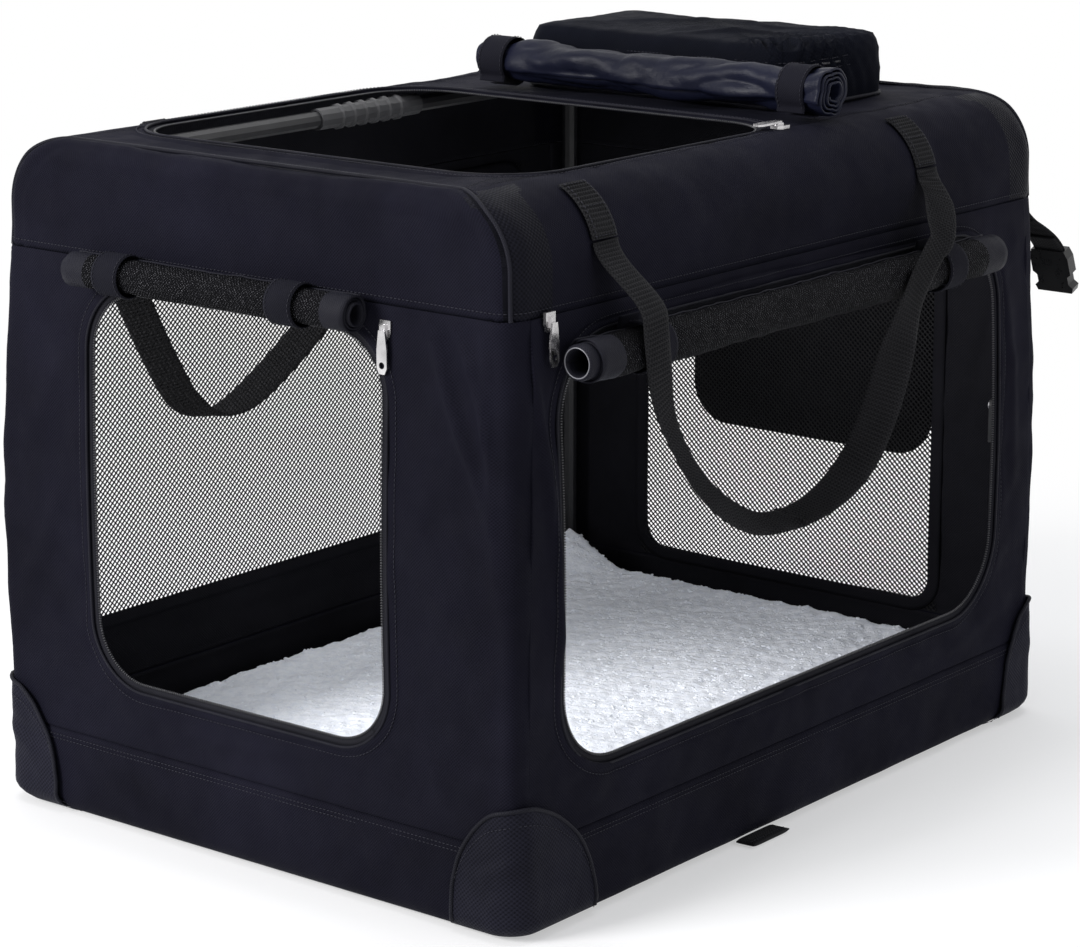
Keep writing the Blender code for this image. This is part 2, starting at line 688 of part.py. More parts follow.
def zip_slider(name, place, out, along, metal, parent):
    """Wedge-shaped zip slider with the bridge that its pull hangs from."""
    up = out.cross(along)
    outline = [(-0.5, -0.5), (0.5, -0.5), (0.5, 0.1), (0.32, 0.5), (-0.32, 0.5), (-0.5, 0.1)]

    def point(a, b, c):
        return place + up * (a * SLIDER_W) + along * (b * SLIDER_H) + out * c

    rings = [[point(a, b, c) for a, b in outline] for c in (GAP, SLIDER_BODY_T)]
    body = solid(name, loft(rings), metal, parent)
    foot = SLIDER_BODY_T - BRIDGE_SINK
    bridge = [(-0.28, foot), (-0.28, SLIDER_T), (0.28, SLIDER_T), (0.28, foot)]
    rings = [[point(a, b, c) for b, c in bridge] for a in (-0.16, 0.16)]
    combine(body, scratch(f"bridge_{name}", loft(rings)), "UNION")
    return body


def zip_pull(name, place, out, down, metal, parent):
    """Flat puller with a round hole near its free end."""
    wide = out.cross(down)
    w = PULL_W / 2
    narrow = w * 0.62
    outline = [(-narrow, 0.0), (narrow, 0.0), (w, PULL_L * 0.45), (w, PULL_L * 0.86),
               (w * 0.55, PULL_L), (-w * 0.55, PULL_L), (-w, PULL_L * 0.86), (-w, PULL_L * 0.45)]
    base = SLIDER_T + GAP

    def point(a, b, c):
        return place + wide * a + down * b + out * c

    rings = [[point(a, b, c) for a, b in outline] for c in (base, base + PULL_T)]
    pull = solid(name, loft(rings), metal, parent)
    hole = [[point(a, PULL_L * 0.80 + b, c) for a, b in circle(PULL_HOLE_R)]
            for c in (0.0, base + CUT)]
    return combine(pull, scratch(f"hole_{name}", loft(hole)), "DIFFERENCE")


def rear_strap(web, parent):
    """Short webbing that stands out from the rear end and curls down."""
    root = Vector((STRAP_X, STRAP_Y, STRAP_Z))
    path = [root + Vector((x, 0, z)) for x, z in STRAP_RUN]
    solid("rear_strap", sweep(path, Vector((0, 1, 0)), rectangle(WEB_W, WEB_T)), web, parent)
    return path


def rear_buckle(tip, heading, plastic, parent):
    """Receiving half of a side-release buckle, with its two side windows."""
    wide = Vector((0, 1, 0))
    thick = heading.cross(wide)
    w, length, t = BUCKLE_W / 2, BUCKLE_L, BUCKLE_T / 2
    start = GAP
    outline = [(-w * 0.86, start), (w * 0.86, start), (w, start + BUCKLE_NOSE), (w, length * 0.55),
               (w * 0.80, length * 0.62), (w * 0.80, length * 0.80), (w, length * 0.88),
               (w * 0.9, length), (-w * 0.9, length), (-w, length * 0.88),
               (-w * 0.80, length * 0.80), (-w * 0.80, length * 0.62), (-w, length * 0.55),
               (-w, start + BUCKLE_NOSE)]
    rings = [[tip + wide * a + heading * b + thick * c for a, b in outline] for c in (-t, t)]
    body = solid("rear_buckle", loft(rings), plastic, parent)
    slot = [(-w * 0.62, -t * 0.5), (w * 0.62, -t * 0.5), (w * 0.62, t * 0.5), (-w * 0.62, t * 0.5)]
    rings = [[tip + wide * a + thick * c + heading * b for a, c in slot]
             for b in (length * 0.45, length + CUT)]
    return combine(body, scratch("buckle_mouth", loft(rings)), "DIFFERENCE")


def corner_patch(name, end, side, side_reach, cloth):
    """Reinforcing patch round a lower corner, outside the cover."""
    inner, outer = CORNER_R + GAP, CORNER_R + GAP + PATCH_T
    centre = (HALF_X - CORNER_R, HALF_Y - CORNER_R)
    round_out = arc(centre, outer, 90, 0, 5)
    round_in = arc(centre, inner, 0, 90, 5)
    x_end, y_end = HALF_X - side_reach, HALF_Y - PATCH_END
    outline = [(x_end, round_out[0][1])] + round_out + [(round_out[-1][0], y_end)]
    outline += [(round_in[0][0], y_end)] + round_in + [(x_end, round_in[-1][1])]
    outline = [(end * x, side * y) for x, y in outline]
    return solid(name, extrude(outline, "XY", 0, PATCH_H), cloth)


def build_frame(mats, body):
    steel = mats["steel"]
    half_hoop("lower_hoop_front", -1, False, steel, body["front_lower"])
    half_hoop("upper_hoop_front", -1, True, steel, body["front_upper"])
    half_hoop("lower_hoop_rear", 1, False, steel, body["rear_lower"])
    half_hoop("upper_hoop_rear", 1, True, steel, body["rear_upper"])
    for end, word in ((-1, "front"), (1, "rear")):
        for side, hand in ((-1, "near"), (1, "far")):
            knee_rivet(f"knee_rivet_{word}_{hand}", end, side, mats["rivet"],
                       body[f"{word}_lower"])
    for side, hand in ((-1, "near"), (1, "far")):
        rail(f"base_rail_{hand}", side, PIVOT_LOW, steel)
        rail(f"roof_rail_{hand}", side, PIVOT_HIGH, steel, body["roof"])
        ribbed_grip(f"rail_grip_{hand}", side, mats["grip"], body["roof"])


def build_cover(mats, body):
    base_tray(mats["base"])
    roof_cover(mats["cover"], body["roof"])
    front_hole = rounded(FRONT_DOOR_Y, FRONT_DOOR_Z, FRONT_DOOR_R)
    side_hole = rounded(SIDE_DOOR_X, SIDE_DOOR_Z, SIDE_DOOR_R)
    far_hole = rounded(FAR_WINDOW_X, FAR_WINDOW_Z, WINDOW_R)
    rear_hole = rounded(REAR_WINDOW_Y, REAR_WINDOW_Z, WINDOW_R)
    end_wall("front_wall", -1, front_hole, mats["cover"])
    end_wall("rear_wall", 1, rear_hole, mats["cover"])
    side_wall("near_wall", -1, side_hole, mats["cover"])
    side_wall("far_wall", 1, far_hole, mats["cover"])
    net("far_net", "XZ", lapped(FAR_WINDOW_X), lapped(FAR_WINDOW_Z),
        INNER_Y - GAP - NET_T / 2, FAR_NET_GAPS, mats["net"])
    net("rear_net", "YZ", lapped(REAR_WINDOW_Y), lapped(REAR_WINDOW_Z),
        INNER_X - GAP - NET_T / 2, REAR_NET_GAPS, mats["net"])
    pocket = rounded(POCKET_Y, POCKET_Z, POCKET_R)
    solid("rear_pocket", extrude(pocket, "YZ", HALF_X + GAP, HALF_X + GAP + POCKET_T),
          mats["cover"])
    reaches = {-1: PATCH_SIDE[0], 1: PATCH_SIDE[1]}
    for end, word in ((-1, "front"), (1, "rear")):
        for side, hand in ((-1, "near"), (1, "far")):
            corner_patch(f"corner_patch_{word}_{hand}", end, side, reaches[end], mats["patch"])
    outer = HALF_Y + GAP
    tab = [(TAB_X[0], -outer - TAB_REACH), (TAB_X[1], -outer - TAB_REACH),
           (TAB_X[1], -outer), (TAB_X[0], -outer)]
    solid("ground_tab", extrude(tab, "XY", 0, TAB_T), mats["web"])


def build_rolls(mats, body):
    roof = body["roof"]
    off = GAP + BAND_T + GAP
    front = (-(HALF_X + off + FRONT_ROLL_R), FRONT_ROLL_Z)
    side = (-(HALF_Y + off + SIDE_ROLL_R), SIDE_ROLL_Z)
    top = (TOP_ROLL_X, HEIGHT + off + TOP_ROLL_R)
    rolled_sheet("front_door_roll", "Y", front, FRONT_ROLL_R, FRONT_ROLL_Y, 1,
                 ROLL_START_DEG, mats["rolled_net"], roof)
    rolled_sheet("side_door_roll", "X", side, SIDE_ROLL_R, SIDE_ROLL_X, 1, ROLL_START_DEG,
                 mats["rolled_net"], roof)
    rolled_sheet("top_flap_roll", "Y", top, TOP_ROLL_R, TOP_ROLL_Y, -1, FLAP_START_DEG,
                 mats["flap"], roof)
    skin = BAND_T + GAP
    front_tab = ((-HALF_X - skin, -HALF_X - GAP), (FRONT_ROLL_Z, SEAM_TOP + BAND_TAB))
    side_tab = ((-HALF_Y - skin, -HALF_Y - GAP), (SIDE_ROLL_Z, SEAM_TOP + BAND_TAB))
    top_tab = ((TOP_ROLL_X - TOP_ROLL_R - BAND_TAB / 2, TOP_ROLL_X),
               (HEIGHT + GAP, HEIGHT + skin))
    for k, y in enumerate(band_places(FRONT_ROLL_Y, FRONT_BAND_INSETS)):
        roll_band(f"front_roll_band_{k + 1}", "Y", front, FRONT_ROLL_R, y, front_tab,
                  mats["band"], roof)
    for k, x in enumerate(band_places(SIDE_ROLL_X, SIDE_BAND_INSETS)):
        roll_band(f"side_roll_band_{k + 1}", "X", side, SIDE_ROLL_R, x, side_tab,
                  mats["band"], roof)
    for k, y in enumerate(band_places(TOP_ROLL_Y, TOP_BAND_INSETS)):
        roll_band(f"top_roll_band_{k + 1}", "Y", top, TOP_ROLL_R, y, top_tab,
                  mats["band"], roof)
    cushion("roof_pouch", POUCH_X, POUCH_Y, (HEIGHT + GAP, HEIGHT + GAP + POUCH_H), POUCH_R,
            POUCH_CROWN, mats["pouch"], roof)


def build_straps(mats, body):
    for side, hand in ((-1, "near"), (1, "far")):
        middle = HANDLE_MIDDLES[hand]
        handle_loop(f"{hand}_handle", side, middle, HANDLE_RUNS[hand], mats["web"],
                    body[f"{hand}_handle"])
        for x, word in ((middle - HANDLE_X, "front"), (middle + HANDLE_X, "rear")):
            handle_tab(f"{hand}_handle_tab_{word}", side, x, mats["web"], body["roof"])
    path = rear_strap(mats["web"], body["rear_strap"])
    heading = (path[-1] - path[-2]).normalized()
    rear_buckle(path[-1], heading, mats["plastic"], body["rear_strap"])


def build_zips(mats, body):
    down, left = Vector((0, 0, -1)), Vector((-1, 0, 0))
    runs = {
        "front": (Vector(FRONT_ZIP), Vector((-1, 0, 0)), down),
        "side": (Vector(SIDE_ZIP), Vector((0, -1, 0)), down),
        "top": (Vector(TOP_ZIP), Vector((0, 0, 1)), left),
    }
    for word, (place, out, along) in runs.items():
        zip_slider(f"{word}_zip_slider", place, out, along, mats["metal"],
                   body[f"{word}_slider"])
        zip_pull(f"{word}_zip_pull", place, out, along, mats["metal"], body[f"{word}_pull"])


def build_inside(mats, body):
    low = PIVOT_LOW + TUBE_R + GAP
    outline = rounded((-MAT_X, MAT_X), (-MAT_Y, MAT_Y), MAT_R)
    solid("floor_board", extrude(outline, "XY", low, low + BOARD_T), mats["board"])
    top = low + BOARD_T + GAP
    cushion("fleece_mat", (-MAT_X, MAT_X), (-MAT_Y, MAT_Y), (top, top + MAT_H + MAT_CROWN),
            MAT_R, MAT_CROWN, mats["fleece"], body["mat"])


def main():
    for obj in list(bpy.data.objects):
        bpy.data.objects.remove(obj, do_unlink=True)
    mats = {
        "cover": material("navy_polyester", (0.020, 0.021, 0.034), 0.72),
        "base": material("base_polyester", (0.016, 0.017, 0.027), 0.75),
        "patch": material("patch_polyester", (0.014, 0.014, 0.020), 0.70),
        "flap": material("satin_lining", (0.026, 0.030, 0.058), 0.42),
        "pouch": material("pouch_polyester", (0.014, 0.015, 0.026), 0.62),
        "band": material("band_polyester", (0.018, 0.018, 0.028), 0.70),
        "web": material("black_webbing", (0.010, 0.010, 0.012), 0.78),
        "net": material("window_net", (0.030, 0.030, 0.032), 0.60),
        "rolled_net": material("rolled_net", (0.012, 0.012, 0.014), 0.66),
        "fleece": material("white_fleece", (0.62, 0.65, 0.72), 0.95),
        "board": material("floor_board", (0.020, 0.020, 0.022), 0.80),
        "steel": material("frame_steel", (0.16, 0.16, 0.17), 0.40, 1.0),
        "rivet": material("rivet_steel", (0.55, 0.55, 0.56), 0.35, 1.0),
        "grip": material("grip_rubber", (0.015, 0.015, 0.016), 0.55),
        "metal": material("zip_metal", (0.62, 0.62, 0.68), 0.28, 1.0),
        "plastic": material("black_plastic", (0.012, 0.012, 0.013), 0.45),
    }
    pull_out = SLIDER_T + GAP + PULL_T / 2
    places = {
        "front_lower": (-PIVOT_X, 0, PIVOT_LOW),
        "front_upper": (-PIVOT_X, 0, KNEE_Z),
        "rear_lower": (PIVOT_X, 0, PIVOT_LOW),
        "rear_upper": (PIVOT_X, 0, KNEE_Z),
        "roof": (-PIVOT_X, 0, PIVOT_HIGH),
        "near_handle": (0, -HANDLE_PIVOT_Y, HANDLE_PIVOT_Z),
        "far_handle": (0, HANDLE_PIVOT_Y, HANDLE_PIVOT_Z),
        "rear_strap": (STRAP_X, STRAP_Y, STRAP_Z),
        "front_slider": FRONT_ZIP,
        "front_pull": (FRONT_ZIP[0] - pull_out, FRONT_ZIP[1], FRONT_ZIP[2]),
        "side_slider": SIDE_ZIP,
        "side_pull": (SIDE_ZIP[0], SIDE_ZIP[1] - pull_out, SIDE_ZIP[2]),
        "top_slider": TOP_ZIP,
        "top_pull": (TOP_ZIP[0], TOP_ZIP[1], TOP_ZIP[2] + pull_out),
        "mat": (0, 0, PIVOT_LOW),
    }
    body = {word: pivot(f"axis_{word}", place) for word, place in places.items()}
    build_frame(mats, body)
    build_cover(mats, body)
    build_rolls(mats, body)
    build_straps(mats, body)
    build_zips(mats, body)
    build_inside(mats, body)


main()
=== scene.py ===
import math

import bmesh
import bpy
import numpy as np
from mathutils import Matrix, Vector


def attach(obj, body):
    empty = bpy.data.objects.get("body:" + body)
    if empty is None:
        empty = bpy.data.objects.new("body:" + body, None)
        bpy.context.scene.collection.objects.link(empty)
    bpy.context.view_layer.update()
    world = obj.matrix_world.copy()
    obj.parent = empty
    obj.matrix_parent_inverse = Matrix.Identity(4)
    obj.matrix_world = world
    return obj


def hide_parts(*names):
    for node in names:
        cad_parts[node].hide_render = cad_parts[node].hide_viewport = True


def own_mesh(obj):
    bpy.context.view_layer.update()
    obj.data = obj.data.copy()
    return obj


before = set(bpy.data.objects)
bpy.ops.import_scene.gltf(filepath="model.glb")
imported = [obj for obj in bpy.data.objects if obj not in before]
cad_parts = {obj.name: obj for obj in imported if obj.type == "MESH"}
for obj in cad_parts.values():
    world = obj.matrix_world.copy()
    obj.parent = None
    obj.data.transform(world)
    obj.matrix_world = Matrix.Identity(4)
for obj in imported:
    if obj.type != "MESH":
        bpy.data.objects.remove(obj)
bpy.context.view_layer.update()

# Soft folding dog crate: the cloth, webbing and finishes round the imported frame.
# Lengths are metres. X runs from the front end to the rear, and -Y is the near long side.

TOP = 0.460              # the roof's height
LOW_SEAM = 0.0600        # seam between the base band and the walls
HIGH_SEAM = 0.3868       # seam between the walls and the roof's band
SHOULDER_R = 0.045       # rounding from the roof into a long side
END_R = 0.012            # rounding from the roof into an end wall
FOOT_R = 0.013           # rounding under the base band
CLOTH = 0.0024
PIPING_R = 0.0014
UP = np.array([0, 0, 1.0])

scene = bpy.context.scene


# Numbers and small shapes

def smooth(x):
    x = np.clip(x, 0.0, 1.0)
    return x * x * (3 - 2 * x)


def bell(x, middle, width):
    return np.exp(-((x - middle) / width) ** 2)


def unit(v):
    return v / np.maximum(np.linalg.norm(v, axis=-1, keepdims=True), 1e-12)


def waves(points, length, seed, octaves=3):
    """Soft noise of about that wavelength, from -1 to 1: sines in fixed random directions."""
    points = np.asarray(points, float)
    draw = np.random.default_rng(seed)
    total = np.zeros(len(points))
    reach = 0.0
    for k in range(octaves):
        scale = 2 * math.pi / length * 1.9 ** k
        for _ in range(5):
            way = draw.normal(size=points.shape[1])
            way *= scale * draw.uniform(0.7, 1.3) / np.linalg.norm(way)
            total += np.sin(points @ way + draw.uniform(0, 2 * math.pi)) * 0.6 ** k
            reach += 0.6 ** k
    return total / reach * 2.0


def crease(points, run, width, height):
    """A ridge along a run of points, strongest in the middle of the run."""
    best = np.zeros(len(points))
    run = np.asarray(run, float)
    spans = len(run) - 1
    for k in range(spans):
        a, d = run[k], run[k + 1] - run[k]
        t = np.clip(((points - a) @ d) / (d @ d), 0, 1)
        gap = np.linalg.norm(points - (a + t[:, None] * d), axis=1)
        best = np.maximum(best, bell(gap, 0, width)
                          * np.sin(math.pi * (0.08 + 0.84 * (k + t) / spans)))
    return best * height


class Shape:
    """Collects parts of one piece: points, faces, UVs in metres and material numbers."""

    def __init__(self):
        self.points, self.faces, self.uvs, self.count = [], [], [], 0

    def add(self, points, faces, uvs=None, slot=0):
        points = np.asarray(points, float).reshape(-1, 3)
        self.points.append(points)
        self.uvs.append(points[:, :2] if uvs is None else np.asarray(uvs, float).reshape(-1, 2))
        self.faces.append((np.asarray(faces, int) + self.count, slot))
        self.count += len(points)
        return self

    def build(self, name, materials):
        points, uvs = np.concatenate(self.points), np.concatenate(self.uvs)
        sizes = np.concatenate([np.full(len(f), f.shape[1]) for f, _ in self.faces])
        slots = np.concatenate([np.full(len(f), s) for f, s in self.faces])
        loops = np.concatenate([f.ravel() for f, _ in self.faces])
        starts = np.concatenate([[0], np.cumsum(sizes)[:-1]])
        mesh = bpy.data.meshes.new(name)
        mesh.vertices.add(len(points))
        mesh.vertices.foreach_set("co", points.astype(np.float32).ravel())
        mesh.loops.add(len(loops))
        mesh.loops.foreach_set("vertex_index", loops.astype(np.int32))
        mesh.polygons.add(len(sizes))
        for key, values in (("loop_start", starts), ("loop_total", sizes),
                            ("material_index", slots)):
            mesh.polygons.foreach_set(key, values.astype(np.int32))
        layer = mesh.uv_layers.new(name="cloth")
        layer.data.foreach_set("uv", uvs[loops].astype(np.float32).ravel())
        mesh.update(calc_edges=True)
        mesh.validate()
        for material in materials:
            mesh.materials.append(material)
        mesh.polygons.foreach_set("use_smooth", np.full(len(sizes), True))
        obj = bpy.data.objects.new(name, mesh)
        scene.collection.objects.link(obj)
        return obj


def settle(piece, body, node=None, folds=False):
    """Ties a piece to its body and the CAD node that it stands for."""
    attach(piece, body)
    if node:
        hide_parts(node)
    if folds:
        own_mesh(piece)
    return piece


def finish_sheet(obj, thickness=CLOTH, offset=-1.0, inner=1):
    """Gives a face cloth's thickness. Its inner side takes the material after its own."""
    m = obj.modifiers.new("cloth", "SOLIDIFY")
    m.thickness, m.offset, m.use_rim = thickness, offset, True
    m.material_offset = inner
    m.material_offset_rim = 0


def weld(obj, distance=0.000005, outward=True):
    """Joins close points, and turns the faces of closed parts outward unless told not to."""
    bm = bmesh.new()
    bm.from_mesh(obj.data)
    bmesh.ops.remove_doubles(bm, verts=bm.verts, dist=distance)
    if outward:
        bmesh.ops.recalc_face_normals(bm, faces=bm.faces)
    bm.to_mesh(obj.data)
    bm.free()


def read(obj, what):
    """The positions (co) or the normals (normal) of a mesh's points."""
    values = np.zeros(len(obj.data.vertices) * 3)
    obj.data.vertices.foreach_get(what, values)
    return values.reshape(-1, 3)


def push(obj, lift):
    """Moves each point along the surface's own normal."""
    co = read(obj, "co") + read(obj, "normal") * np.reshape(lift, (-1, 1))
    obj.data.vertices.foreach_set("co", co.astype(np.float32).ravel())
    obj.data.update()
    return obj


def grid_faces(rows, columns, close_rows=False, close_columns=False, flip=False):
    """Quads of a grid of points, row after row."""
    r = np.arange(rows if close_rows else rows - 1)
    c = np.arange(columns if close_columns else columns - 1)
    r, c = np.meshgrid(r, c, indexing="ij")
    r, c = r.ravel(), c.ravel()
    r2, c2 = (r + 1) % rows, (c + 1) % columns
    quads = np.stack([r * columns + c, r * columns + c2, r2 * columns + c2, r2 * columns + c], 1)
    return quads[:, ::-1] if flip else quads


def copies(faces, count, size):
    """The faces of many equal blocks, each of that many points."""
    return (faces[None] + (np.arange(count) * size)[:, None, None]).reshape(-1, faces.shape[1])


def close_fan(shape, ring, flip=False, uvs=None, slot=0):
    """Closes a ring of points with triangles round its middle."""
    n = len(ring)
    k = np.arange(n)
    fan = np.stack([np.full(n, n), (k + 1) % n, k], 1)
    shape.add(np.concatenate([ring, ring.mean(0)[None]]), fan[:, ::-1] if flip else fan, uvs, slot)


def uv_grid(u, v):
    """UVs of a grid of points, from values that run along its rows and down its columns."""
    return np.stack(np.broadcast_arrays(u, v), 2)


def ring_uv(rings, row, way=1):
    """UVs of a stack of rings: along the given ring, and from ring to ring."""
    down = np.concatenate([[0], np.cumsum(np.linalg.norm(np.diff(rings, axis=0), axis=2).mean(1))])
    return uv_grid(lengths_along(rings[row], True)[:-1][None], way * down[:, None])


def at_height(loop, z):
    return np.column_stack([loop, np.full(len(loop), z)])


def lengths_along(path, closed=False):
    path = np.asarray(path, float)
    ends = np.roll(path, -1, 0) if closed else path[1:]
    steps = np.linalg.norm(ends - (path if closed else path[:-1]), axis=1)
    return np.concatenate([[0], np.cumsum(steps)])


def resample(path, step=None, count=None, closed=False):
    """Even points along a polyline."""
    path = np.asarray(path, float)
    s = lengths_along(path, closed)
    if closed:
        path = np.concatenate([path, path[:1]])
    n = count or max(2, int(round(s[-1] / step)) + (0 if closed else 1))
    want = np.linspace(0, s[-1], n + 1)[:-1] if closed else np.linspace(0, s[-1], n)
    return np.stack([np.interp(want, s, path[:, k]) for k in range(path.shape[1])], 1)


def curve_through(points, steps):
    """Smooth line through the points."""
    p = np.asarray(points, float)
    p = np.concatenate([2 * p[:1] - p[1:2], p, 2 * p[-1:] - p[-2:-1]])
    t = np.linspace(0, 1, steps, endpoint=False)[:, None]
    spans = [(2 * b + (c - a) * t + (2 * a - 5 * b + 4 * c - d) * t ** 2
              + (3 * b - a - 3 * c + d) * t ** 3) / 2
             for a, b, c, d in zip(p, p[1:], p[2:], p[3:])]
    return np.concatenate([*spans, p[-2:-1]])


def tangents(path, closed=False):
    if closed:
        return unit(np.roll(path, -1, 0) - np.roll(path, 1, 0))
    return unit(np.gradient(path, axis=0))


def tube(shape, path, radius, up=(0, 0, 1), sides=8, closed=False, slot=0):
    """Round cord along a path."""
    path = np.asarray(path, float)
    t = tangents(path, closed)
    side = unit(np.cross(t, np.broadcast_to(np.asarray(up, float), path.shape)))
    top = np.cross(side, t)
    a = np.linspace(0, 2 * math.pi, sides, endpoint=False)
    ring = (path[:, None] + side[:, None] * np.cos(a)[None, :, None] * radius
            + top[:, None] * np.sin(a)[None, :, None] * radius)
    shape.add(ring, grid_faces(len(path), sides, close_rows=closed, close_columns=True),
              uv_grid(a[None] * radius, lengths_along(path)[:, None]), slot)
    if not closed:
        for row, flip in ((0, True), (-1, False)):
            close_fan(shape, ring[row], flip, np.zeros((sides + 1, 2)), slot)


def ribbon(shape, path, across, out, width, thick, rows=9, ribs=None, crown=0.0):
    """Flat strip along a path: a closed solid, with cross ribs on both faces if asked."""
    n = len(path)
    s = lengths_along(path)
    u = np.linspace(-1, 1, rows)
    height = np.full((n, rows), thick / 2)
    if ribs is not None:
        pitch, depth = ribs
        height = height + depth * (0.5 + 0.5 * np.cos(2 * math.pi * s / pitch))[:, None] \
            * (1 - np.abs(u) ** 10)[None] - depth / 2
    height = height * (1 - 0.45 * np.abs(u)[None] ** 8)
    lift = crown * (1 - u ** 2)[None]
    middle = path[:, None] + across[:, None] * (u * width / 2)[None, :, None]
    front = middle + out[:, None] * (height + lift)[:, :, None]
    back = middle + out[:, None] * (-height + lift)[:, :, None]
    around = np.concatenate([front, back[:, ::-1]], 1)
    uv_u = np.concatenate([u * width / 2, 2 * width + u * width / 2])
    shape.add(around, grid_faces(n, 2 * rows, close_columns=True),
              uv_grid(uv_u[None], s[:, None]))
    quads = np.array([[k, k + 1, 2 * rows - 2 - k, 2 * rows - 1 - k] for k in range(rows - 1)])
    for row, flip in ((0, 1), (-1, -1)):
        shape.add(around[row], quads[:, ::flip], np.zeros((2 * rows, 2)))


def frame_along(path, out, pitch, closed):
    """Points a pitch apart, with the directions along the path, out of the cloth and across."""
    path = resample(path, step=pitch, closed=closed)
    out = np.broadcast_to(out, path.shape) if np.ndim(out) == 1 else out
    out = out[np.linspace(0, len(out) - 1, len(path)).round().astype(int)]
    t = tangents(path, closed)
    return path, t, out, unit(np.cross(t, out))


STITCH_PITCH, STITCH_LENGTH, THREAD_R = 0.0032, 0.0023, 0.00028
TOOTH_PITCH = 0.0017


def stitches(shape, path, out, slot=0, closed=False):
    """A row of thread stitches that lies on the cloth."""
    path, t, out, side = frame_along(path, out, STITCH_PITCH, closed)
    along = np.array([-0.5, -0.3, 0.3, 0.5]) * STITCH_LENGTH
    lift = np.array([-0.5, 0.9, 0.9, -0.5]) * THREAD_R
    fat = np.array([0.35, 1.0, 1.0, 0.35]) * THREAD_R
    spin = np.linspace(0, 2 * math.pi, 6, endpoint=False)
    ring = (path[:, None, None] + t[:, None, None] * along[None, :, None, None]
            + out[:, None, None] * (lift[:, None] + fat[:, None] * np.sin(spin))[None, :, :, None]
            + side[:, None, None] * (fat[:, None] * np.cos(spin))[None, :, :, None])
    n = len(path)
    shape.add(ring, copies(grid_faces(4, 6, close_columns=True), n, 24), np.zeros((n * 24, 2)),
              slot)


def edge_stitches(shape, path, across, out, proud):
    """Two rows of stitches near a strip's long edges."""
    for u in (-0.0095, 0.0095):
        stitches(shape, path + across * u + out * proud, out, slot=1)


def cross_stitches(shape, middle, across, out, half=0.0095):
    """One row of stitches across a webbing."""
    line = middle + np.linspace(-half, half, 12)[:, None] * np.asarray(across)
    stitches(shape, line + out * 0.0012, out, slot=1)


def teeth(shape, path, out, slot, size=(0.0019, 0.00095, 0.0011)):
    """Small blocks along a zip's closed edge: across, along and proud of the tape."""
    path, t, out, side = frame_along(path, out, TOOTH_PITCH, True)
    corners = np.array([(-1, -1, -.8), (1, -1, -.8), (1, 1, -.8), (-1, 1, -.8),
                        (-.7, -.7, 1), (.7, -.7, 1), (.7, .7, 1), (-.7, .7, 1)]) * .5
    block = (path[:, None] + side[:, None] * (corners[:, 0] * size[0])[None, :, None]
             + t[:, None] * (corners[:, 1] * size[1])[None, :, None]
             + out[:, None] * (corners[:, 2] * size[2])[None, :, None])
    six = np.array([(3, 2, 1, 0), (4, 5, 6, 7), (0, 1, 5, 4), (1, 2, 6, 5), (2, 3, 7, 6),
                    (3, 0, 4, 7)])
    shape.add(block, copies(six, len(path), 8), np.zeros((len(path) * 8, 2)), slot)


# The cover's outside

def half_size(z, size, bulge, narrow, top_r):
    """Half length or width at height z: a flared, rounded foot, bulging sides, a rounded top."""
    z = np.asarray(z, float)
    half = size + 0.0055 * (1 - smooth(z / 0.12)) + bulge * np.sin(
        math.pi * np.clip((z - 0.02) / 0.38, 0, 1)) - narrow * smooth((z - 0.20) / 0.26)
    low = np.clip(FOOT_R - z, 0, FOOT_R)
    high = np.clip(z - (TOP - top_r), 0, top_r)
    half = half - (FOOT_R - np.sqrt(FOOT_R ** 2 - low ** 2))
    return half - (top_r - np.sqrt(np.maximum(top_r ** 2 - high ** 2, 0)))


def half_x(z, end):
    """Half length at height z. The end is -1 at the front and 1 at the rear."""
    return half_size(z, 0.3000, np.where(np.asarray(end) < 0, 0.0058, 0.0016), 0.0004, END_R)


def half_y(z):
    return half_size(z, 0.2200, 0.0052, 0.0030, SHOULDER_R)


def corner_r(z):
    """Plan radius of the upright corners, roundest at the top."""
    z = np.asarray(z, float)
    return 0.013 + 0.006 * (1 - smooth(z / 0.09)) + 0.005 * smooth((z - 0.12) / 0.28)


# Each side's kind, 0 for an end and 1 for a long side, and the direction that it faces
SIDES = {"front": (0, -1), "rear": (0, 1), "near": (1, -1), "far": (1, 1)}


def wall_end(side, z, sign=1):
    """How far from the wall's middle its own cloth runs, at height z."""
    r = corner_r(z)
    if SIDES[side][0] == 0:
        return sign * (half_y(z) - r + r * math.pi / 2)
    return sign * (half_x(z, sign) - r)


def skin(side, a, z, out=0.0):
    """Points on the cover's outside: a runs along a wall from its middle, round its corners."""
    kind, way = SIDES[side]
    a, z, out = np.broadcast_arrays(np.asarray(a, float), np.asarray(z, float),
                                    np.asarray(out, float))
    r = corner_r(z)
    turn = np.sign(a)
    if kind == 0:
        across, deep = half_y(z), half_x(z, way)
    else:
        across, deep = half_x(z, np.where(turn == 0, 1, turn)), half_y(z)
    flat = across - r
    past = np.abs(a) - flat
    angle = np.clip(past / r, 0, math.pi / 2)
    rest = np.maximum(past - r * math.pi / 2, 0)
    along = turn * (np.minimum(np.abs(a), flat) + (r + out) * np.sin(angle))
    depth = way * (deep - r + (r + out) * np.cos(angle) - rest)
    return np.stack([*((depth, along) if kind == 0 else (along, depth)), z], -1)


def skin_out(side, a, z):
    """Outward direction there, level with the floor."""
    return unit(skin(side, a, z, 0.001) - skin(side, a, z))


def proud(side, a, z, lift):
    """Points that stand that far proud of the cover."""
    return skin(side, a, z) + skin_out(side, a, z) * np.reshape(lift, (-1, 1))


def on_wall(side, loop, lift):
    """Points proud of a wall and outward directions, for (along, height) pairs."""
    return proud(side, *loop.T, lift), skin_out(side, *loop.T)


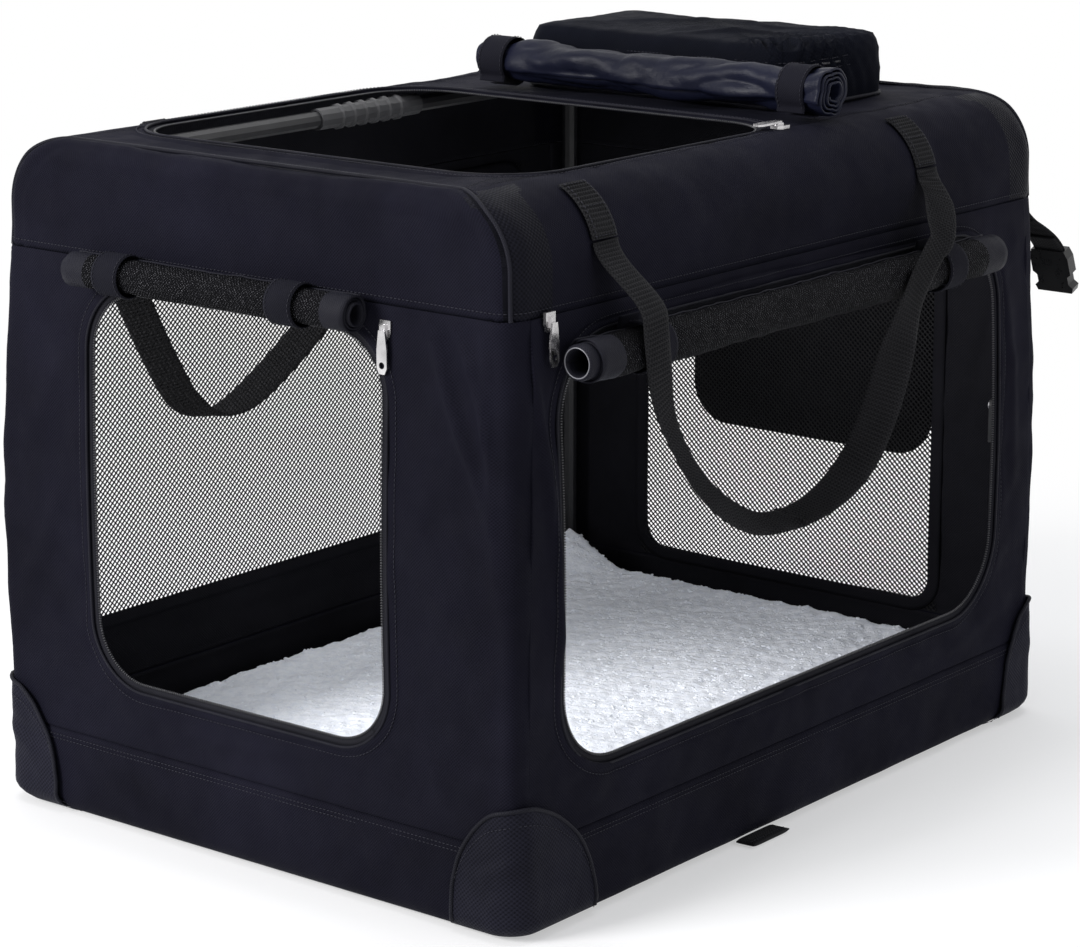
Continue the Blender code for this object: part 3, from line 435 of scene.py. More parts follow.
def round_loop(x, y, r, count):
    """Points round a rounded rectangle, from the middle of its first corner, in four runs."""
    centres = [(x[0] + r, y[0] + r), (x[1] - r, y[0] + r), (x[1] - r, y[1] - r),
               (x[0] + r, y[1] - r)]
    runs = []
    for k in range(4):
        a0 = math.radians(225 + 90 * k)
        run = [(c[0] + r * math.cos(t), c[1] + r * math.sin(t))
               for c, start, end in ((centres[k], a0, a0 + math.pi / 4),
                                     (centres[(k + 1) % 4], a0 + math.pi / 4, a0 + math.pi / 2))
               for t in np.linspace(start, end, 9)]
        runs.append(resample(run, count=count[k] + 1)[:-1])
    return np.concatenate(runs)


def grown(hole, by, count=(120, 110, 120, 110)):
    """An opening's outline moved outward by some metres, or inward if negative."""
    x, y = hole["x"], hole["y"]
    return round_loop((x[0] - by, x[1] + by), (y[0] - by, y[1] + by), hole["r"] + by, count)


RIM_COUNT = (120, 96, 120, 96)
NEAR_FRONT, NEAR_REAR, FAR_REAR, FAR_FRONT = 0, 120, 216, 336    # corners in such a loop


def section(z, count=RIM_COUNT, out=0.0):
    """The cover's outline at height z, moved out, from the middle of the near front corner."""
    x, y = (-float(half_x(z, -1)) - out, float(half_x(z, 1)) + out), float(half_y(z)) + out
    return round_loop(x, (-y, y), float(corner_r(z)) + out, count)


# Materials

def add_node(tree, kind, **values):
    """A shader node. Names that match an input set it, the others are the node's own settings."""
    node = tree.nodes.new("ShaderNode" + kind)
    for key, value in values.items():
        if hasattr(node, key):
            setattr(node, key, value)
        else:
            node.inputs[key.replace("_", " ")].default_value = value
    return node


def math_node(tree, operation, a, b):
    node = add_node(tree, "Math", operation=operation)
    for k, value in enumerate((a, b)):
        if isinstance(value, (int, float)):
            node.inputs[k].default_value = value
        elif value is not None:
            tree.links.new(value, node.inputs[k])
    return node.outputs[0]


def start_material(name, **sockets):
    material = bpy.data.materials.new(name)
    material.use_nodes = True
    tree = material.node_tree
    shader = tree.nodes["Principled BSDF"]
    for key, value in sockets.items():
        shader.inputs[key.replace("_", " ")].default_value = value
    return material, tree, shader


def coordinates(tree, kind):
    return add_node(tree, "TexCoord").outputs[kind]


def ramp(tree, factor, low, first, high, second):
    """A blend from the first colour to the second as the factor goes from low to high."""
    node = add_node(tree, "ValToRGB")
    for element, place, colour in zip(node.color_ramp.elements, (low, high), (first, second)):
        element.position = place
        element.color = (*(colour if isinstance(colour, tuple) else (colour,) * 3), 1)
    tree.links.new(factor, node.inputs[0])
    return node.outputs[0]


def mix_colour(tree, factor, a, b, blend="MIX"):
    node = add_node(tree, "Mix", data_type="RGBA", blend_type=blend)
    for k, value in ((0, factor), (6, a), (7, b)):
        if isinstance(value, (int, float)):
            node.inputs[k].default_value = value
        elif isinstance(value, tuple):
            node.inputs[k].default_value = (*value, 1)
        else:
            tree.links.new(value, node.inputs[k])
    return node.outputs[2]


def noise_on(tree, where, scale, detail, rough=0.55):
    node = add_node(tree, "TexNoise", Scale=scale, Detail=detail, Roughness=rough)
    tree.links.new(where, node.inputs["Vector"])
    return node.outputs["Fac"]


def weave(tree, uv, pitch):
    """Height of a plain weave from 0 to 1, with that distance between threads."""
    parts = add_node(tree, "SeparateXYZ")
    tree.links.new(uv, parts.inputs[0])
    rows = [math_node(tree, "SINE", math_node(tree, "MULTIPLY", parts.outputs[k],
                                              math.pi / pitch), None) for k in (0, 1)]
    both = math_node(tree, "MULTIPLY", *rows)
    return math_node(tree, "ADD", math_node(tree, "MULTIPLY", both, 0.5), 0.5)


def bump(tree, shader, height, distance, under=None):
    node = add_node(tree, "Bump", Strength=1.0, Distance=distance)
    tree.links.new(height, node.inputs["Height"])
    if under is not None:
        tree.links.new(under, node.inputs["Normal"])
    tree.links.new(node.outputs[0], shader.inputs["Normal"])
    return node.outputs[0]


def woven(name, hollow_shade, painted_highlight, pitch=0.0011, depth=0.00025, rough=(0.62, 0.82), ior=1.30,
          sheen=0.01, fade=0.30, tint=(0.55, 0.6, 0.8), crush=0.0, mirror=0.10):
    """Woven cloth: threads, uneven dye, light rubbed patches and fine crumples."""
    material, tree, shader = start_material(
        name, IOR=ior, Specular_IOR_Level=mirror, Sheen_Weight=sheen, Sheen_Roughness=0.45,
        Sheen_Tint=(*tint, 1))
    uv, place = coordinates(tree, "UV"), coordinates(tree, "Object")
    threads = math_node(tree, "MULTIPLY", weave(tree, uv, pitch), 0.75)
    slub = math_node(tree, "MULTIPLY", noise_on(tree, uv, 900.0, 2.0), 0.5)
    threads = math_node(tree, "ADD", threads, slub)
    worn = ramp(tree, noise_on(tree, place, 9.0, 5.0, 0.6), 0.30, 1 - fade, 0.72, 1 + fade)
    # The weave's hollows take the darker colour and its crests the lighter: painted shade and
    # painted highlight, with the slub noise mixed in
    colour = mix_colour(tree, 1.0, ramp(tree, threads, 0.18, hollow_shade, 0.82, painted_highlight), worn, "MULTIPLY")
    tree.links.new(colour, shader.inputs["Base Color"])
    gloss = ramp(tree, noise_on(tree, place, 55.0, 4.0), 0.25, rough[0], 0.75, rough[1])
    tree.links.new(gloss, shader.inputs["Roughness"])
    under = None
    if crush:
        under = bump(tree, shader, noise_on(tree, place, 42.0, 5.0, 0.62), crush)
    bump(tree, shader, threads, depth, under)
    return material


def plain(name, colour, rough, spread=0.06, grain=0.0, grain_scale=1500.0, metallic=0.0,
          ior=1.45, scratch=0.0):
    """Moulded, coated or metal finish with grain, uneven gloss and fine scratches."""
    material, tree, shader = start_material(name, Metallic=metallic, IOR=ior)
    place = coordinates(tree, "Object")
    low, high = (tuple(min(1.0, c * share) for c in colour) for share in (0.8, 1.2))
    tree.links.new(ramp(tree, noise_on(tree, place, 60.0, 4.0), 0.3, low, 0.7, high),
                   shader.inputs["Base Color"])
    gloss = ramp(tree, noise_on(tree, place, 140.0, 5.0), 0.3, max(0.02, rough - spread),
                 0.7, rough + spread)
    tree.links.new(gloss, shader.inputs["Roughness"])
    under = None
    if scratch:
        stretch = add_node(tree, "Mapping")
        stretch.inputs["Scale"].default_value = (1, 1, 0.08)
        tree.links.new(place, stretch.inputs["Vector"])
        under = bump(tree, shader, noise_on(tree, stretch.outputs[0], 2400.0, 2.0), scratch)
    if grain:
        bump(tree, shader, noise_on(tree, place, grain_scale, 2.0), grain, under)
    return material


def net_with_painted_glints(name, base, glint_colour, share, gauge):
    """Rolled net: dark strands in crossing rows, darker still in the weave's low parts as painted
    shade, with small light flecks between them as painted glints.
    """
    material, tree, shader = start_material(name, IOR=1.25, Specular_IOR_Level=0.10,
                                            Roughness=0.6)
    place = coordinates(tree, "Object")
    cells = weave(tree, coordinates(tree, "UV"), gauge)
    # Painted glints: light flecks where the noise passes the share, on the weave's raised parts
    glint_noise = noise_on(tree, place, 2600.0, 1.0, 0.5)
    painted_highlight = math_node(tree, "MULTIPLY", math_node(tree, "GREATER_THAN", glint_noise, share),
                      math_node(tree, "GREATER_THAN", cells, 0.55))
    # Painted shade: the weave's low parts darker
    strands = ramp(tree, cells, 0.25, tuple(c * 0.45 for c in base), 0.75, base)
    tree.links.new(mix_colour(tree, painted_highlight, strands, glint_colour), shader.inputs["Base Color"])
    under = bump(tree, shader, noise_on(tree, place, 260.0, 4.0, 0.6), 0.0008)
    bump(tree, shader, cells, 0.0007, under)
    return material


def fleece(name):
    material, tree, shader = start_material(name, Roughness=0.95, IOR=1.1, Sheen_Weight=0.15,
                                            Specular_IOR_Level=0.1, Sheen_Roughness=0.6)
    place = coordinates(tree, "Object")
    # Painted shade: noise patches a little darker, standing in for the hollows between the fleece's
    # curls
    curl = noise_on(tree, place, 190.0, 3.0, 0.6)
    tree.links.new(ramp(tree, curl, 0.30, (0.80, 0.84, 0.92), 0.60, (0.90, 0.93, 0.98)),
                   shader.inputs["Base Color"])
    bump(tree, shader, noise_on(tree, place, 520.0, 3.0, 0.7), 0.0006)
    return material


# Woven cloths: the first colour goes in the weave's hollows and the second on its crests, as
# painted shade and painted highlight
NAVY = woven("navy_cloth", (0.0026, 0.0025, 0.0050), (0.0074, 0.0072, 0.0130), mirror=0.08)
BASE = woven("base_cloth", (0.0024, 0.0023, 0.0047), (0.0070, 0.0068, 0.0123), fade=0.34,
             mirror=0.08)
PATCH = woven("patch_cloth", (0.0034, 0.0034, 0.0058), (0.0125, 0.0125, 0.0200), pitch=0.0015,
              depth=0.0004, rough=(0.50, 0.72))
GUSSET = woven("gusset_cloth", (0.0018, 0.0018, 0.0030), (0.0070, 0.0070, 0.0108), pitch=0.0016,
               depth=0.0005, rough=(0.40, 0.58), mirror=0.075)
LINING = woven("black_lining", (0.0050, 0.0050, 0.0065), (0.0110, 0.0110, 0.0140), sheen=0.0)
PIPING = woven("piping_cloth", (0.0038, 0.0038, 0.0058), (0.0125, 0.0125, 0.0180), pitch=0.0008,
               rough=(0.42, 0.60), mirror=0.16)
THREAD = plain("sewing_thread", (0.017, 0.017, 0.024), 0.55, grain=0.0001, ior=1.25)
# Webbing: far lighter on the weave's crests than in its hollows, as painted highlight and painted
# shade
WEBBING = woven("black_webbing", (0.0020, 0.0020, 0.0026), (0.0210, 0.0210, 0.0228),
                pitch=0.0012, depth=0.0004, rough=(0.55, 0.75), tint=(0.8, 0.8, 0.85))
ZIP_TAPE = woven("zip_tape", (0.0060, 0.0060, 0.0080), (0.0160, 0.0160, 0.0200), pitch=0.0009)
COIL = plain("zip_coil", (0.020, 0.020, 0.024), 0.34, grain=0.00005, ior=1.5)
NICKEL = plain("nickel", (0.60, 0.59, 0.60), 0.26, spread=0.08, metallic=1.0, scratch=0.00006)
NET = plain("window_net", (0.0075, 0.0075, 0.0085), 0.62, grain=0.00004, ior=1.25)
POCKET = woven("pocket_cloth", (0.0045, 0.0045, 0.0060), (0.0100, 0.0100, 0.0130), sheen=0.02)
STEEL = plain("black_coated_steel", (0.020, 0.020, 0.022), 0.38, grain=0.00006,
              grain_scale=900.0)
RIVET = plain("rivet_steel", (0.30, 0.30, 0.31), 0.35, metallic=1.0, scratch=0.00004)
RUBBER = plain("grip_rubber", (0.045, 0.045, 0.048), 0.42, grain=0.0001)
PLASTIC = plain("black_plastic", (0.010, 0.010, 0.011), 0.30, grain=0.00008, grain_scale=700.0)
BOARD = plain("floor_board", (0.030, 0.029, 0.030), 0.7, grain=0.0003, grain_scale=300.0)
# Rolled net: dark strands, and light flecks that are painted glints
ROLLED = net_with_painted_glints("rolled_net", (0.0044, 0.0044, 0.0056), (0.190, 0.190, 0.205), 0.65, 0.0012)
SATIN = woven("satin_lining", (0.0036, 0.0042, 0.0100), (0.0070, 0.0082, 0.0190), pitch=0.0005,
              depth=0.00006, rough=(0.30, 0.46), ior=1.45, sheen=0.0, crush=0.0010, mirror=0.12)
BAND = woven("band_cloth", (0.0032, 0.0032, 0.0050), (0.0090, 0.0090, 0.0135), pitch=0.0009)
POUCH = woven("pouch_cloth", (0.0016, 0.0018, 0.0034), (0.0046, 0.0053, 0.0088), crush=0.0006,
              rough=(0.50, 0.70), mirror=0.035)
# Painted glint: light grey for the thin bright arc in the side roll's bore
PAINTED_GLINT = plain("bore_painted_glint", (0.16, 0.16, 0.175), 0.30, ior=1.5)
FLEECE = fleece("white_fleece")

# The pieces that keep their CAD shape, by the start of their names
for starts, material in ((("base_rail", "roof_rail", "lower_hoop", "upper_hoop"), STEEL),
                         ("knee_rivet", RIVET), ("rail_grip", RUBBER), ("rear_buckle", PLASTIC),
                         ("floor_board", BOARD), (("front_zip", "side_zip", "top_zip"), NICKEL)):
    for name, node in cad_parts.items():
        if name.startswith(starts):
            for place in node.material_slots:
                place.material = material


# Walls

# Openings by side: their reach along the wall and in height, and their corners' radius
HOLES = {
    "front": dict(x=(-0.1230, 0.1370), y=(0.100, 0.372), r=0.045),
    "near": dict(x=(-0.262, 0.243), y=(0.095, 0.372), r=0.055),
    "far": dict(x=(-0.240, 0.240), y=(0.108, 0.370), r=0.016),
    "rear": dict(x=(-0.137, 0.132), y=(0.067, 0.370), r=0.020),
}
# Ridges in the cloth: points (along, height), width and height before RUN_SCALE
WALL_RUNS = {
    "front": [
        ([(-.154, .386), (-.165, .358), (-.178, .324), (-.190, .299), (-.205, .262)], .0046, .0034),
        ([(-.174, .380), (-.187, .361), (-.197, .333), (-.207, .300)], .0038, .0032),
        ([(-.196, .388), (-.200, .340), (-.206, .280), (-.212, .210)], .0036, .0024),
        ([(-.140, .230), (-.172, .205), (-.205, .185)], .0080, .0012),
        ([(-.150, .118), (-.185, .100), (-.214, .094)], .0070, .0014),
        ([(.150, .330), (.178, .290), (.205, .240)], .0090, .0014),
        ([(.160, .235), (.180, .190), (.208, .150)], .0080, .0011),
        ([(-.060, .088), (.030, .078), (.120, .086)], .0060, .0009),
    ],
    "near": [
        ([(-.285, .365), (-.276, .310), (-.268, .250), (-.262, .190)], .0048, .0030),
        ([(-.278, .240), (-.262, .180), (-.240, .120)], .0055, .0014),
        ([(-.262, .090), (-.225, .110), (-.190, .125)], .0060, .0012),
        ([(.252, .340), (.262, .260), (.268, .180)], .0060, .0014),
        ([(.100, .080), (.190, .074), (.270, .092)], .0060, .0010),
    ],
    "rear": [
        ([(-.200, .350), (-.180, .280), (-.160, .200)], .0070, .0015),
        ([(.150, .340), (.172, .260), (.190, .180)], .0070, .0014),
    ],
    "far": [
        ([(-.280, .340), (-.262, .250), (-.250, .160)], .0070, .0014),
        ([(.268, .330), (.255, .240), (.268, .150)], .0070, .0014),
        ([(-.150, .086), (.000, .078), (.160, .088)], .0080, .0010),
    ],
}
RUN_SCALE = 1.5
WALL_RINGS, WALL_COUNT = 34, (88, 76, 88, 76)
# How far outside an opening's edge its binding, stitches and zip tape run
BINDING_AT, STITCHES_AT, TAPE_FROM, TAPE_TO = 0.0006, 0.0068, 0.0015, -0.0050


def seam_dip(z, seam, width=0.0022, depth=0.0013):
    """A sewn seam pulls the cloth in."""
    return -depth * bell(z, seam, width)


def hem(gap):
    """A turned edge stands proud, with a furrow along its stitches."""
    return 0.0007 * bell(gap, 0.0035, 0.0028) - 0.0006 * bell(gap, 0.0085, 0.0016)


def wall_relief(side, a, z, gap):
    """How far the cloth stands proud of its even shape, a gap away from the opening."""
    spot = np.stack([a, z], 1)
    seed = 11 + list(SIDES).index(side)
    lift = waves(spot, 0.110, seed) * 0.0011 + waves(spot, 0.042, seed + 20) * 0.00040
    for run, width, height in WALL_RUNS[side]:
        lift = lift + crease(spot, run, width, height * RUN_SCALE)
    lift += seam_dip(z, LOW_SEAM) + seam_dip(z, HIGH_SEAM)
    calm = smooth((z - LOW_SEAM) / 0.012) * smooth((HIGH_SEAM - z) / 0.012)
    lift = lift * np.maximum(calm, 0.25) + hem(gap)
    if SIDES[side][0] == 0:
        r = corner_r(z)
        turn = (np.abs(a) - (half_y(z) - r)) / (r * math.pi / 2)
        lift += 0.0017 * bell(turn, 0.34, 0.22) - 0.0010 * bell(turn, 0.86, 0.10)
    return lift


def wall_rings(side):
    """Rings of (along, height) pairs, from the opening's edge out to the wall's own."""
    hole = HOLES[side]
    inner = round_loop(hole["x"], hole["y"], hole["r"], WALL_COUNT)
    t = [np.linspace(0, 1, n, endpoint=False) for n in WALL_COUNT]
    low, high = LOW_SEAM, HIGH_SEAM
    right, left = low + (high - low) * t[1], high - (high - low) * t[3]
    bottom = wall_end(side, low, -1) + (wall_end(side, low) - wall_end(side, low, -1)) * t[0]
    top = wall_end(side, high) + (wall_end(side, high, -1) - wall_end(side, high)) * t[2]
    outer = np.concatenate([
        np.stack([bottom, np.full_like(bottom, low)], 1),
        np.stack([wall_end(side, right), right], 1),
        np.stack([top, np.full_like(top, high)], 1),
        np.stack([wall_end(side, left, -1), left], 1)])
    share = np.linspace(0, 1, WALL_RINGS)[:, None, None] ** 1.15
    return inner[None] * (1 - share) + outer[None] * share


def make_wall(side):
    flat = wall_rings(side)
    a, z = flat[..., 0].ravel(), flat[..., 1].ravel()
    gap = np.linalg.norm(flat - flat[:1], axis=2).ravel()
    faces = grid_faces(*flat.shape[:2], close_columns=True, flip=side in ("rear", "near"))
    wall = Shape().add(proud(side, a, z, wall_relief(side, a, z, gap)), faces,
                       flat).build(f"cloth_{side}_wall", [NAVY, LINING])
    finish_sheet(wall)
    settle(wall, "base", f"{side}_wall", folds=True)


def zip_round(shape, edge, inside, away, flip):
    """Zip tape inside an opening's edge, with its coil of teeth along the tape's free edge."""
    thick = away * 0.0007
    rows = np.stack([edge, inside, inside - thick, edge - thick])
    uv = uv_grid(np.array([0, .0065, .0072, .0137])[:, None], lengths_along(edge)[None])
    shape.add(rows, grid_faces(4, len(edge), close_rows=True, close_columns=True, flip=flip), uv, 2)
    teeth(shape, inside + away * 0.0002, away, 3)


def trim(name, edge, row, *tape, flip=False):
    """Binding, stitches and zip round an opening; edge and row are points and directions."""
    shape = Shape()
    tube(shape, edge[0], 0.0010, up=edge[1], sides=6, closed=True)
    stitches(shape, *row, closed=True, slot=1)
    if tape:
        zip_round(shape, *tape, flip)
    return shape.build(name, [PIPING, THREAD, ZIP_TAPE, COIL])


def wall_trim(side):
    edge, row, outer, inner = (grown(HOLES[side], by)
                               for by in (BINDING_AT, STITCHES_AT, TAPE_FROM, TAPE_TO))
    lift = wall_relief(side, *row.T, np.full(len(row), STITCHES_AT))
    tape = []
    if side in ("front", "near"):
        points, away = on_wall(side, outer, -0.0010)
        tape = [points, on_wall(side, inner, -0.0013)[0], away]
    piece = trim(f"{side}_opening_trim", on_wall(side, edge, 0.0004),
                 on_wall(side, row, lift + 0.0001), *tape, flip=side in ("front", "far"))
    settle(piece, "base", folds=True)


for side in HOLES:
    make_wall(side)
for side in HOLES:
    wall_trim(side)


# Roof and base

ROOF_HOLE = dict(x=(-0.240, 0.058), y=(-0.170, 0.170), r=0.050)


def shoulder_levels(straight, curved):
    """Heights from the upper seam to the roof, in a straight and a curved stretch."""
    arc = [TOP - SHOULDER_R + SHOULDER_R * math.sin(t) for t in np.linspace(0, math.pi / 2, curved)]
    return [*np.linspace(HIGH_SEAM, TOP - SHOULDER_R, straight)[:-1], *arc]


def end_arch(end):
    """The edge between an end panel and the roof: up one corner, across and down the other."""
    levels = shoulder_levels(12, 40)
    near, far = (NEAR_FRONT, FAR_FRONT) if end < 0 else (NEAR_REAR, FAR_REAR)
    rise = [[*section(z)[near], z] for z in levels]
    fall = [[*section(z)[far], z] for z in levels[::-1]]
    a, b = np.array(rise[-1]), np.array(fall[0])
    top = [a + (b - a) * t for t in np.linspace(0, 1, 80)[1:-1]]
    return resample(np.array(rise + top + fall), step=0.002)


def gap_to(points, path):
    """Distance from each point to the nearest of a path's points."""
    best = [np.sqrt(((points[k:k + 4000, None] - path[None]) ** 2).sum(2).min(1))
            for k in range(0, len(points), 4000)]
    return np.concatenate(best)


def make_roof():
    loops = [at_height(section(z), z) for z in shoulder_levels(9, 14)]
    hole = round_loop(ROOF_HOLE["x"], ROOF_HOLE["y"], ROOF_HOLE["r"], RIM_COUNT)
    last = loops[-1][:, :2]
    loops += [at_height(last * (1 - t) + hole * t, TOP) for t in np.linspace(0, 1, 30)[1:]]
    rings = np.stack(loops)
    faces = grid_faces(*rings.shape[:2], close_columns=True)
    roof = Shape().add(rings, faces, ring_uv(rings, 6)).build("cloth_roof",
                                                              [NAVY, LINING, GUSSET])
    p = rings.reshape(-1, 3)
    x, y, z = p.T
    lift = waves(p, 0.120, 31) * 0.0011 + waves(p, 0.045, 32) * 0.00040
    lift *= 0.25 + 0.75 * smooth((z - HIGH_SEAM) / 0.012)
    lift += seam_dip(z, HIGH_SEAM) - 0.0004 * bell(z, HIGH_SEAM + 0.0065, 0.0012)
    middle = p[faces].mean(1)
    slots = np.zeros(len(faces), np.int32)
    for end in (-1, 1):
        # Three level creases where the end panel bends into the roof
        inside = smooth((end * x - 0.26) / 0.03) * (1 - smooth((np.abs(y) - 0.150) / 0.04))
        for level, deep in ((0.4525, 0.0009), (0.4455, 0.0007), (0.4380, 0.0004)):
            lift -= deep * bell(z, level + 0.0012 * np.sin(y * 21), 0.0016) * inside
        # Welts and a furrow along the end panel's edge, and the groove that its piping lies in
        gap = gap_to(p, end_arch(end))
        panel = smooth((end * x - 0.2905 + 0.6 * np.maximum(z - TOP + END_R, 0)) / 0.004)
        lift += panel * (0.0011 * bell(gap, 0.0070, 0.0040) - 0.0011 * bell(gap, 0.0140, 0.0017)
                         + 0.0005 * bell(gap, 0.0180, 0.0025)) * smooth((np.abs(y) - 0.06) / 0.06)
        lift -= 0.0004 * bell(gap, 0.0026, 0.0012)
        # Gussets of shinier cloth beside the upper corners
        slots[(end * middle[:, 0] < 0.2965) & (gap[faces].mean(1) < 0.034)
              & (middle[:, 2] < TOP - 0.0004) & (np.abs(middle[:, 1]) > 0.178)] = 2
    roof.data.polygons.foreach_set("material_index", slots)
    spread = np.linalg.norm(rings[:, :, :2] - hole[None], axis=2).ravel()
    lift += np.where(z > TOP - 0.0005, hem(spread), 0)
    sag = smooth((0.165 - np.abs(y)) / 0.10) * (bell(x, -0.262, 0.02) * 0.0030
                                               + bell(x, 0.262, 0.03) * 0.0020)
    return push(roof, lift - sag * (z > TOP - 0.001))


def make_base():
    foot = [FOOT_R - FOOT_R * math.sin(t) for t in np.linspace(0, math.pi / 2, 8)]
    levels = [*np.linspace(LOW_SEAM, FOOT_R, 12)[:-1], *foot]
    loops = [at_height(section(z), z) for z in levels]
    last = loops[-1][:, :2]
    loops += [at_height(last * t, 0.0) for t in np.linspace(1, 0.02, 14)[1:]]
    rings = np.stack(loops)
    shape = Shape().add(rings, grid_faces(*rings.shape[:2], close_columns=True, flip=True),
                        ring_uv(rings, 0, -1))
    close_fan(shape, rings[-1])
    base = shape.build("cloth_base", [BASE, LINING])
    p = read(base, "co")
    z = p[:, 2]
    lift = waves(p, 0.100, 41) * 0.0010 + waves(p, 0.035, 42) * 0.00035
    lift *= smooth(z / 0.010) * (0.25 + 0.75 * smooth((LOW_SEAM - z) / 0.012))
    lift += seam_dip(z, LOW_SEAM, 0.0020, 0.0012) - 0.0004 * bell(z, LOW_SEAM - 0.006, 0.0011)
    return push(base, lift)


roof = make_roof()
finish_sheet(roof)
settle(roof, "roof", "roof_cover")
shape = Shape()
for end in (-1, 1):
    arch = end_arch(end)
    away = arch - np.array([0.0, 0.0, 0.30])
    away[:, 0] = end * 0.10
    away = unit(away)
    tube(shape, arch - away * 0.0001, PIPING_R, up=away, sides=10)
    stitches(shape, arch + away * 0.0004 + np.array([-end * 0.0042, 0, 0])
             * smooth((np.abs(arch[:, 2:3] - 0.40)) / 0.03), away, slot=1)
settle(shape.build("roof_end_piping", [PIPING, THREAD]), "roof")

base = make_base()
finish_sheet(base)
settle(base, "base", "base_tray")


# Nets, window bindings and the rear pocket

NET_CELL = (0.0022, 0.0021)        # half a diamond's width and height
WIDE, THIN = 0.00073, 0.00043      # the strands' half widths along the two diagonals
NET_DEPTH = CLOTH + 0.0008         # the net's middle, behind the cover's outside


def lattice(side, a_range, z_range, name, phase):
    """Knitted net of diamond holes. The strands of one diagonal are thicker than the other's."""
    hx, hz = NET_CELL
    i, j = np.meshgrid(np.arange(1, int((a_range[1] - a_range[0]) / hx)),
                       np.arange(1, int((z_range[1] - z_range[0]) / hz)), indexing="ij")
    kept = (i + j + phase) % 2 == 0
    centre = np.stack([a_range[0] + i[kept] * hx, z_range[0] + j[kept] * hz], 1)
    diagonal = math.hypot(hx, hz)
    system = np.array([(hz, hx), (hz, -hx)]) / diagonal
    reach = hx * hz / diagonal
    hole = np.array([np.linalg.solve(system, (p * (reach - THIN), q * (reach - WIDE)))
                     for p, q in ((1, 1), (-1, 1), (-1, -1), (1, -1))])
    mid = (hole + np.roll(hole, -1, 0)) / 2 * 1.03
    inner = np.stack([hole * 0.93, mid], 1).reshape(8, 2)
    outer = np.array([(0, -hz), (hx, 0), (0, hz), (-hx, 0)])
    outer = np.stack([outer, (outer + np.roll(outer, -1, 0)) / 2], 1).reshape(8, 2)
    inner = inner[np.argsort(np.arctan2(inner[:, 1], inner[:, 0]))]
    inner = np.roll(inner, -np.argmin(np.linalg.norm(unit(inner) - unit(outer[0]), axis=1)), 0)
    flat = np.concatenate([centre[:, None] + ring for ring in (outer, outer, inner)], 1)
    away = np.array([0.00022] * 8 + [-0.00022] * 8 + [0.0] * 8)
    points = proud(side, flat[..., 0].ravel(), flat[..., 1].ravel(),
                   np.tile(away, len(centre)) - NET_DEPTH)
    k = np.arange(8)
    k2 = (k + 1) % 8
    one = np.concatenate([np.stack([k, k2, 16 + k2, 16 + k], 1),
                          np.stack([8 + k2, 8 + k, 16 + k, 16 + k2], 1)])
    if side == "far":
        one = one[:, ::-1]
    net = Shape().add(points, copies(one, len(centre), 24), flat).build(name, [NET])
    weld(net, 0.00004, outward=False)
    return net


for name, side, a_range, z_range, phase in (
        ("net_far_front", "far", (-0.2464, 0.0), (0.1022, 0.3752), 0),
        ("net_far_rear", "far", (-0.0022, 0.2464), (0.1022, 0.3752), 1),
        ("net_rear", "rear", (-0.1430, 0.1386), (0.0610, 0.3765), 0)):
    net = lattice(side, a_range, z_range, name, phase)
    settle(net, "base", f"{side}_net", folds=True)


def flat_patch(side, outline, inner, lift, rings, flip):
    """A flat piece on a wall between two outlines of (along, height) pairs."""
    t = np.linspace(0, 1, rings)[:, None, None]
    flat = outline[None] * (1 - t) + inner[None] * t
    points = proud(side, flat[..., 0].ravel(), flat[..., 1].ravel(), lift)
    return Shape().add(points, grid_faces(rings, len(outline), close_columns=True, flip=flip), flat)


for side in ("far", "rear"):
    tape = flat_patch(side, grown(HOLES[side], -0.0015), grown(HOLES[side], 0.0085),
                      -(CLOTH + 0.0018), 4, side == "far").build(f"{side}_window_tape", [LINING])
    finish_sheet(tape, 0.0006, inner=0)
    settle(tape, "base", folds=True)

POCKET_AT = dict(x=(-0.133, 0.086), y=(0.178, 0.374), r=0.032)
rim = grown(POCKET_AT, 0.0, (60, 50, 60, 50))
middle = np.array([np.mean(POCKET_AT["x"]), np.mean(POCKET_AT["y"])])
swell = np.repeat(0.0012 + 0.0050 * smooth(np.linspace(0, 1, 12) * 2.2), len(rim))
shape = flat_patch("rear", rim, middle + (rim - middle) * 0.04, swell, 12, True)
close_fan(shape, shape.points[-1][-len(rim):], flip=True)
pocket = shape.build("rear_window_pocket", [POCKET, LINING])
weld(pocket)
finish_sheet(pocket, 0.0016)
settle(pocket, "base", "rear_pocket", folds=True)


# Corner patches and the stitches along the seams

PATCH_ROWS, PATCH_COUNT = 26, 74
PATCH_EDGE = [(-.046, .0), (-.0445, .036), (-.034, .062), (-.018, .080), (-.002, .0865)]
PATCH_LONG_EDGE = [(.012, .0860), (.036, .0740), (.056, .055), (.068, .030), (.072, .000)]


